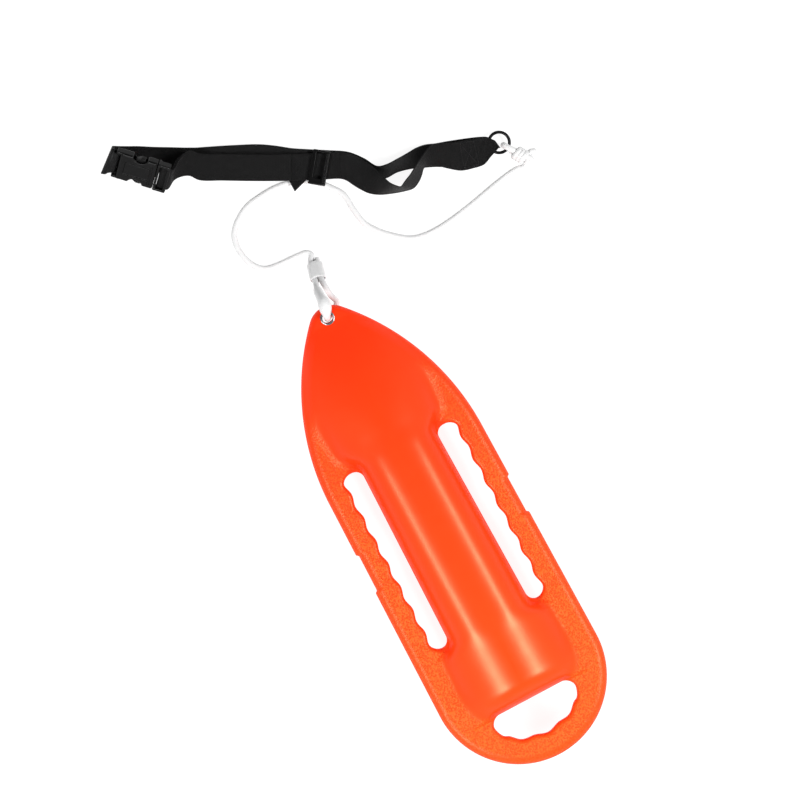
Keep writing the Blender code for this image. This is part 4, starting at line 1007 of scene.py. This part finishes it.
# the middle surface of the doubled part, up to the plug half's outer bar
DOUBLED_X = (-52, -75, -110, -150, -184)
doubled = [straight(x, run_y(x), (DOUBLED_Z + TOP_Z) / 2) for x in DOUBLED_X]
doubled += edges((-196, 240.0, 19.0, -198, 204.0, 15.3), (-206, 235, 25.0, -210.5, 203.0, 13.6),
                 (-214, 227, 31.0, -221.0, 198.0, 12.6))
doubled += at_bar((OUTER_BAR_X + 3.5, 1.67))
plug_loop = at_bar(
    (OUTER_BAR_X - 3.0, -1.6), (INNER_BAR_X, -WRAP), (INNER_BAR_X - DIAG, -DIAG),
    (INNER_BAR_X - WRAP, 0.0), (INNER_BAR_X - DIAG, DIAG), (INNER_BAR_X, WRAP),
    (OUTER_BAR_X - 3.0, WRAP))


def layer(pairs, way):
    """The pairs of a middle surface, moved off it to one side."""
    out = []
    for i, (p, q) in enumerate(pairs):
        before, after = pairs[max(i - 1, 0)], pairs[min(i + 1, len(pairs) - 1)]
        normal = np.cross((after[0] + after[1]) - (before[0] + before[1]), q - p)
        normal = normal / np.linalg.norm(normal) * way * (0.9 if i < len(DOUBLED_X) else 1.15)
        if i == len(DOUBLED_X) - 1:
            normal = np.array((0.0, 0.0, 0.9 * way))
        out.append((p + normal, q + normal))
    return out


belt_path = (socket_loop + lower_run + ring_fold + ring_return + twist + upper_run
             + layer(doubled, -1) + plug_loop + layer(doubled, 1)[::-1])


# ------------------------------------------------------------------ the belt's pieces
def strap_section():
    """Places across the strap, -1 to 1, and its relative thickness, with rolled selvages."""
    half = [0.3, 0.6, 0.84, 0.885, 0.925, 0.965, 0.992, 1.0]
    v = np.array([-a for a in half[::-1]] + [0.0] + half)
    a = np.abs(v)
    t = np.where(a > 0.925, np.sqrt(np.clip(1.0 - ((a - 0.925) / 0.075) ** 2, 0, 1)), 1.0)
    t = t * np.where(a > 0.86, 1.0, 0.86)
    t[0] = t[-1] = 0.25
    return v, t


class Strap:
    """A woven strap through pairs of edge points, cut into pieces with matching ends."""

    def __init__(self, pairs, step, thick):
        # each row holds both edges, so an even step is root two longer
        self.path = spline([np.concatenate(pair) for pair in pairs], step * 1.4142)
        p, q = self.path[:, :3], self.path[:, 3:]
        self.mid = (p + q) / 2
        self.s = run_length(self.mid)
        normal = np.cross(np.gradient(self.mid, axis=0), q - p)
        normal /= np.linalg.norm(normal, axis=1)[:, None]
        self.normal = normal
        v, t = strap_section()
        half = thick / 2
        # ribs of the weave stand out a little on both faces
        rib = 0.06 * np.cos(self.s * math.tau / 3.8)[:, None] * (np.abs(v) < 0.8)[None, :]
        w = (1 + v) / 2
        centre = p[:, None, :] * (1 - w)[None, :, None] + q[:, None, :] * w[None, :, None]
        top = centre + normal[:, None, :] * (t[None, :] * half + rib)[:, :, None]
        bottom = centre - normal[:, None, :] * (t[None, :] * half - rib)[:, :, None]
        self.rings = np.concatenate([top, bottom[:, ::-1]], 1)
        self.across = np.concatenate([w, w[::-1]]) * WEB_W

    def nearest(self, pair, start=0):
        gaps = np.linalg.norm(self.path[start:] - np.concatenate(pair), axis=1)
        return start + int(np.argmin(gaps))

    def at(self, s, across):
        """The point on the middle surface at a length and a place across, and its normal."""
        i = np.interp(s, self.s, np.arange(len(self.s)))
        low = min(int(i), len(self.s) - 2)
        f = i - low
        row = self.path[low] * (1 - f) + self.path[low + 1] * f
        normal = self.normal[low] * (1 - f) + self.normal[low + 1] * f
        t = across / WEB_W
        return row[:3] * (1 - t) + row[3:] * t, normal / np.linalg.norm(normal)

    def piece(self, name, first, last, body=None, stands_for=None):
        n, count = last - first + 1, len(self.across)
        uv = np.stack([np.repeat(self.s[first:last + 1], count), np.tile(self.across, n)], 1)
        k = np.arange(count // 2 - 1)
        base = (n - 1) * count
        cap_0 = np.stack([k, count - 1 - k, count - 2 - k, k + 1], 1)
        cap_1 = np.stack([base + k, base + k + 1, base + count - 2 - k, base + count - 1 - k], 1)
        faces = np.concatenate([grid_quads(n, count), cap_0, cap_1])
        return to_object(name, self.rings[first:last + 1].reshape(-1, 3), faces, WEB,
                         body, stands_for, uv=uv, outward=True)


belt = Strap(belt_path, 1.0, WEB_T)
FOLD_INDEX = belt.nearest(ring_fold[1])


def build_belt():
    lower_end = belt.nearest(ring_return[-1], FOLD_INDEX)
    upper_start = belt.nearest(upper_run[0], lower_end)
    belt.piece("webbing_rear", 0, lower_end, "belt", "webbing_back")
    # the twisted loop is baked in place, attached to no body
    loop = belt.piece("webbing_crossing", lower_end, upper_start)
    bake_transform(loop)
    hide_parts("webbing_twist")
    belt.piece("webbing_fore", upper_start, len(belt.mid) - 1, "strap_front", "webbing_front")


build_belt()


# ------------------------------------------------------------------ buckle
def solid(name, shape, low, high, step, to_world, body, stands_for,
          material=BLACK):
    """A moulded part, from a shape in its own frame between two corners."""
    axes = [np.arange(a - 2 * step, b + 2.5 * step, step) for a, b in zip(low, high)]
    verts, quads = skin(shape, axes, step, relax=0.3)
    placed = np.array([to_world(*v) for v in verts])
    to_object(name, placed, quads, material, body, stands_for)


BUCKLE_W, BUCKLE_T = 24.0, 7.0               # half-width and half-thickness
BAR_REACH = 22.0                             # half-length of the round bars


def socket_half(x, y, z):
    # crowned faces: thinner towards the sides
    crown = 0.55 * (y / BUCKLE_W) ** 4 + 0.35 * ((x + 27.0) / 27.0) ** 6
    zc = np.abs(z) + crown
    shell = block(x, y, zc, (-54.0, -BUCKLE_W, -BUCKLE_T), (0.0, BUCKLE_W, BUCKLE_T), 2.6)
    lugs = block(x, y, z, (-61.5, -BUCKLE_W, -5.5), (-50.0, BUCKLE_W, 5.5), 1.4)
    strap_gap = block(x, y, z, (-70.0, -20.0, -20.0), (-54.2, 20.0, 20.0), 1.0)
    lugs = carve(lugs, strap_gap, 0.6)
    bar = np.maximum(np.hypot(x - SOCKET_BAR_X, z) - 1.32, np.abs(y) - BAR_REACH)
    part = union(union(shell, lugs, 1.6), bar, 0.8)
    pocket = block(x, y, z, (-48.0, -21.4, -4.7), (6.0, 21.4, 4.7), 1.0)
    part = carve(part, pocket, 0.5)
    for side in (1.0, -1.0):
        scoop = np.hypot(x + 26.0, y - side * (BUCKLE_W + 3.2)) - 11.5
        part = carve(part, scoop, 1.5)
    # a rectangular groove in both faces, and two ribs' grooves across its open end
    panel = np.maximum(np.abs(x + 27.0) - 19.0, np.abs(y) - 10.5)
    groove = np.maximum(np.abs(panel) - 0.45, 6.15 - zc)
    part = carve(part, groove, 0.25)
    for rib_x in (-9.0, -5.8):
        rib = np.maximum(np.maximum(np.abs(x - rib_x) - 0.55, 6.35 - zc), np.abs(y) - 17.0)
        part = carve(part, rib, 0.25)
    return part


def plug_half(x, y, z):
    part = block(x, y, z, (0.4, -BUCKLE_W, -6.4), (3.8, BUCKLE_W, 6.4), 1.1)
    # side rails
    for low, high in ((BUCKLE_W - 4.4, BUCKLE_W), (-BUCKLE_W, -BUCKLE_W + 4.4)):
        part = union(part, block(x, y, z, (1.5, low, -4.0), (19.1, high, BUCKLE_T), 1.5), 1.2)
    inner_bar = np.maximum(np.hypot(x - INNER_BAR_X, z) - 1.3, np.abs(y) - BAR_REACH)
    part = union(part, inner_bar, 0.8)
    outer_bar = block(x, y, z, (15.2, -22.5, 3.7), (19.1, 22.5, BUCKLE_T), 1.2)
    part = union(part, outer_bar, 1.0)
    # a raised bead along the outer bar
    bead = block(x, y, z, (17.4, -20.0, 4.6), (19.6, 20.0, BUCKLE_T + 0.35), 0.9)
    part = union(part, bead, 0.8)
    guide = block(x, y, z, (-34.0, -4.0, -1.8), (1.5, 4.0, 1.8), 0.9)
    return union(part, guide, 1.0)


# (x, y) round the +Y latch arm, in the buckle's frame
ARM = [(-1.0, 12.0), (-1.0, 15.0), (-10.0, 17.2), (-16.5, 18.2), (-19.0, 23.3), (-25.0, 22.9),
       (-33.5, 17.5), (-36.5, 14.0), (-33.5, 12.0), (-24.0, 15.2), (-12.0, 14.2)]
PAD_X, RIDGE_PITCH = -22.0, 1.9


def latch_arm(side):
    points = [(x, side * y) for x, y in ARM]

    def shape(x, y, z):
        part = rounded(polygon(x, y, points), np.abs(z) - 3.6, 0.9)
        # grip grooves on the outer side of the pad
        turn = (x - PAD_X) / RIDGE_PITCH
        groove = np.abs(turn - np.round(turn)) * RIDGE_PITCH - 0.35
        pad = np.maximum(np.maximum(groove, np.abs(x - PAD_X) - 3.4), 21.9 - side * y)
        return carve(part, pad, 0.15)
    return shape


solid("buckle_socket", socket_half, (-62.0, -24.0, -7.0), (0.0, 24.0, 7.0), 0.55, in_buckle,
      "belt", "buckle_female")
solid("buckle_plug", plug_half, (-34.0, -24.0, -6.6), (19.8, 24.0, 7.6), 0.55, in_buckle,
      "strap_front", "buckle_male")
for label, side in (("upper", 1.0), ("lower", -1.0)):
    y_low, y_high = sorted((side * 11.8, side * 23.6))
    solid(f"latch_{label}_arm", latch_arm(side), (-36.8, y_low, -3.7), (-0.8, y_high, 3.7), 0.5,
          in_buckle, "latch_" + label, "latch_arm_" + label)

# ------------------------------------------------------------------ strap adjuster
in_slider = local_frame(lay(-12.0, 217.0, 0.0),
                        -TURN + math.atan(RUN_SLOPE) + math.radians(-12.0))
SLIDER_LOW, SLIDER_HIGH = -26.2, 23.8        # its two ends in y
SLIDER_HALF = 12.5                           # half its size in x


def adjuster(x, y, z):
    part = block(x, y, z, (-SLIDER_HALF, SLIDER_LOW, 16.9), (SLIDER_HALF, SLIDER_HIGH, 20.2), 1.45)
    # the bar at +x stands higher than the other
    high_bar = block(x, y, z, (5.2, SLIDER_LOW + 1.0, 17.2), (12.3, SLIDER_HIGH - 1.0, 21.6), 1.6)
    part = union(part, high_bar, 0.8)
    gap = block(x, y, z, (-7.0, -17.0, 10.0), (5.0, SLIDER_HIGH - 3.0, 30.0), 1.2)
    part = carve(part, gap, 0.9)
    for low, high in ((SLIDER_HIGH - 3.0, SLIDER_HIGH), (SLIDER_LOW, SLIDER_LOW + 3.4)):
        cheek = block(x, y, z, (-SLIDER_HALF, low, 11.6), (SLIDER_HALF, high, 19.0), 1.3)
        part = union(part, cheek, 1.0)
    under_bar = block(x, y, z, (-3.5, SLIDER_LOW + 0.5, 11.45), (2.5, SLIDER_HIGH - 0.5, 12.9), 0.7)
    part = union(part, under_bar, 0.6)
    # a row of notches along the top of the high bar
    notch = np.abs(y / 2.4 - np.round(y / 2.4)) * 2.4 - 0.5
    row = np.maximum(np.maximum(notch, np.abs(z - 21.7) - 0.5), np.abs(x - 9.3) - 1.3)
    return carve(part, row, 0.2)


def build_strap_end():
    """The strap's cut end: a short slanting piece at the adjuster."""
    # (x, y) at the two ends of each edge
    edge_a = np.array([(-47, 181), (-64, 213)], float)
    edge_b = np.array([(-31, 197), (-47, 226)], float)
    pairs = [tuple(lay(*(start * (1 - t) + end * t), 12.2) for start, end in (edge_a, edge_b))
             for t in np.linspace(0.02, 0.98, 9)]
    strap = Strap(pairs, 1.0, 1.3)
    strap.piece("webbing_end", 0, len(strap.mid) - 1, "slider", "webbing_tail")


solid("strap_adjuster", adjuster, (-SLIDER_HALF, SLIDER_LOW, 11.4), (SLIDER_HALF, -SLIDER_LOW, 21.7),
      0.5, in_slider, "slider", "tri_glide")
build_strap_end()


# ------------------------------------------------------------------ ring, eyelets, plug
def lathe(name, profile, centre, material, body, stands_for, count=72):
    """Turns a closed outline of (radius, height) about the vertical."""
    theta = np.linspace(0.0, math.tau, count, endpoint=False)
    r, z = np.asarray(profile, float).T[:, :, None]
    rings = np.stack([r * np.cos(theta), r * np.sin(theta), z + 0 * theta], 2) + np.asarray(centre)
    to_object(name, rings.reshape(-1, 3), grid_quads(len(profile), count, closed=True),
              material, body, stands_for, outward=True)


def round_off(points, radius=0.5, steps=5):
    """Rounds the corners of a closed outline."""
    out = []
    points = [np.array(p, float) for p in points]
    for i, p in enumerate(points):
        a, b = points[i - 1] - p, points[(i + 1) % len(points)] - p
        len_a, len_b = np.linalg.norm(a), np.linalg.norm(b)
        k = min(radius, len_a * 0.45, len_b * 0.45)
        start, end = p + a / len_a * k, p + b / len_b * k
        for t in np.linspace(0, 1, steps):
            out.append((1 - t) ** 2 * start + 2 * t * (1 - t) * p + t * t * end)
    return np.array(out)


wire = [(RING_MAJOR + RING_WIRE * math.cos(a), RING_WIRE * math.sin(a))
        for a in np.linspace(0, math.tau, 28, endpoint=False)]
lathe("belt_ring_steel", wire, lay(*RING_AT, RING_Z), STEEL, "ring", "belt_ring", 120)

# (radius, height above mid-height) of the upper eyelet; the lower is its mirror
EYELET_OUTLINE = [(7.4, 0.35), (8.6, 0.35), (8.6, 18.15), (10.3, 18.15),
                  (10.3, 18.8), (9.0, 19.4), (7.6, 19.0), (7.4, 17.8)]
for way, label in ((1.0, "upper"), (-1.0, "lower")):
    lathe("eyelet_" + label, round_off([(r, way * z) for r, z in EYELET_OUTLINE]),
          (0.0, HOLE_Y, MID), EYELET, "can", "nose_grommet_" + label)

CAP_AT = (0.0, PORT_Y, 52.0)
FLANGE_R, FLANGE_Z = 9.4, -3.15


def fill_cap(x, y, z):
    r = np.hypot(x, y)
    flange = rounded(r - FLANGE_R, np.abs(z - FLANGE_Z) - 1.25, 0.7)
    stem = np.maximum(r - 5.6, np.maximum(-3.0 - z, z - 2.6))
    part = union(flange, stem, 0.6)
    coin_slot = block(x, y, z, (-6.6, -1.1, -6.0), (6.6, 1.1, -3.3), 0.5)
    part = carve(part, coin_slot, 0.25)
    knurl = np.maximum(9.0 - r, 0.82 - np.abs(np.sin(np.arctan2(y, x) * 15.0)))
    return np.maximum(part, -np.maximum(knurl, np.abs(z - FLANGE_Z) - 0.8))


solid("fill_cap", fill_cap, (-9.5, -9.5, -4.5), (9.5, 9.5, 2.7), 0.45,
      local_frame(np.array(CAP_AT), 0.0), "can", "fill_plug", PLUG)
lathe("cap_seal", round_off([(6.2, -1.6), (9.1, -1.6), (9.1, -0.3), (6.2, -0.3)]), CAP_AT,
      SEAL, "can", "plug_seal")


# ------------------------------------------------------------------ stitching at the ring
def seam_box(start, end, pitch=2.6, inset=3.0):
    """Stitches (point, direction, normal) in a box with a cross, between two belt lengths."""
    near, far = inset, WEB_W - inset
    seams = [((start, near), (end, near)), ((start, far), (end, far)),
             ((start, near), (start, far)), ((end, near), (end, far)),
             ((start, near), (end, far)), ((start, far), (end, near))]
    out = []
    for (a, u), (b, v) in seams:
        n = max(2, int(round(math.hypot(b - a, v - u) / pitch)))
        ds, dw = (b - a) / n * 0.82, (v - u) / n * 0.82
        for k in range(n):
            s, w = a + (b - a) * (k + 0.5) / n, u + (v - u) * (k + 0.5) / n
            p0, n0 = belt.at(s - ds / 2, w - dw / 2)
            p1, n1 = belt.at(s + ds / 2, w + dw / 2)
            normal = (n0 + n1) / np.linalg.norm(n0 + n1)
            out.append(((p0 + p1) / 2 + normal * (WEB_T / 2 * 0.86), p1 - p0, normal))
    return out


def build_stitching(width=0.34, sides=6, rings=5):
    """Each stitch is a short arched thread, thinner at its ends."""
    middle = belt.s[belt.nearest(ring_return[2], FOLD_INDEX)]
    verts, faces = [], []
    for point, way, normal in seam_box(middle - 9.0, middle + 12.0):
        side = np.cross(way, normal)
        length = np.linalg.norm(way)
        along = way / length
        side /= np.linalg.norm(side)
        base = len(verts)
        for ring in range(rings):
            t = ring / (rings - 1)
            lift = math.sin(math.pi * t)
            r = width * (0.35 + 0.65 * math.sin(math.pi * min(max(t, 0.06), 0.94)))
            centre = point + along * length * (t - 0.5) + normal * (0.30 * lift - 0.12)
            for k in range(sides):
                a = math.tau * k / sides
                verts.append(centre + side * r * math.cos(a) + normal * r * 0.8 * math.sin(a))
        faces += (grid_quads(rings, sides) + base).tolist()
        faces.append([base + k for k in reversed(range(sides))])
        faces.append([base + (rings - 1) * sides + k for k in range(sides)])
    to_object("stitching_ring", verts, faces, THREAD, "belt", outward=True)


build_stitching()


# ------------------------------------------------------------------ floor, lights, camera
def build_floor():
    """A lit table: the paper glows evenly from below."""
    half, z = 6.0, -0.0004
    mesh = bpy.data.meshes.new("floor")
    mesh.from_pydata([(-half, -half, z), (half, -half, z), (half, half, z), (-half, half, z)],
                     [], [(0, 1, 2, 3)])
    store_rest(mesh)
    obj = bpy.data.objects.new("floor", mesh)
    bpy.context.scene.collection.objects.link(obj)
    shade = new_material("floor_paper")
    cloud = shade.noise(scale=3.0, detail=3.0)
    shade.surface(Base_Color=shade.mix(cloud, (0.20, 0.20, 0.20), (0.22, 0.22, 0.22)),
                  Emission_Color=shade.mix(cloud, (0.99, 0.99, 0.99), (1.0, 1.0, 1.0)),
                  Emission_Strength=0.91, Roughness=0.95, Specular_IOR_Level=0.1)
    mesh.materials.append(shade.owner)


def strip_light(name, place, target, size, size_y, power):
    data = bpy.data.lights.new(name, "AREA")
    data.shape = "RECTANGLE"
    data.size, data.size_y = size, size_y
    data.energy = power
    data.spread = math.pi
    obj = bpy.data.objects.new(name, data)
    bpy.context.scene.collection.objects.link(obj)
    z = -(Vector(target) - Vector(place)).normalized()
    y = Vector((0, 1, 0))
    y = (y - z * y.dot(z)).normalized()
    turn = Matrix((y.cross(z), y, z)).transposed().to_4x4()
    obj.matrix_world = Matrix.Translation(place) @ turn


def build_world():
    """Bright near the horizon, dim above."""
    world = bpy.data.worlds.new("studio")
    bpy.context.scene.world = world
    shade = Shader(world, "ShaderNodeOutputWorld", "ShaderNodeBackground")
    way = shade.add("ShaderNodeTexCoord").outputs["Generated"]
    up = shade.add("ShaderNodeSeparateXYZ", {0: way}).outputs[2]
    low, high = math.sin(math.radians(16.0)), math.sin(math.radians(38.0))
    climb = shade.linear(up, gain=1.0 / (high - low), offset=-low / (high - low))
    glow = shade.ramp(climb, (0.0, (1.0, 1.0, 1.0)), (1.0, (0.10, 0.10, 0.10)))
    shade.surface(Color=glow, Strength=0.62)


def build_camera():
    """Looks straight down, turned about the vertical."""
    sensor, height, view_width = 36.0, 12.0, 1.139
    data = bpy.data.cameras.new("camera")
    data.sensor_width = sensor
    data.lens = sensor * height / view_width
    data.clip_end = 60.0
    camera = bpy.data.objects.new("camera", data)
    bpy.context.scene.collection.objects.link(camera)
    right, up = Vector((0.8821, -0.4710, 0.0)), Vector((0.4710, 0.8821, 0.0))
    turn = Matrix((right, up, right.cross(up))).transposed().to_4x4()
    camera.matrix_world = Matrix.Translation((0.0362, 0.1916, 0.07 + height)) @ turn
    bpy.context.scene.camera = camera


build_floor()
for label, side in (("left", -1), ("right", 1)):
    strip_light("strip_" + label, place=(side * 2.35, -0.98, 3.0), target=(0, -0.6, 0.1),
                size=0.56, size_y=1.9, power=140)
build_world()
build_camera()
bpy.context.scene.view_settings.view_transform = "Standard"
bpy.context.scene.view_settings.look = "None"
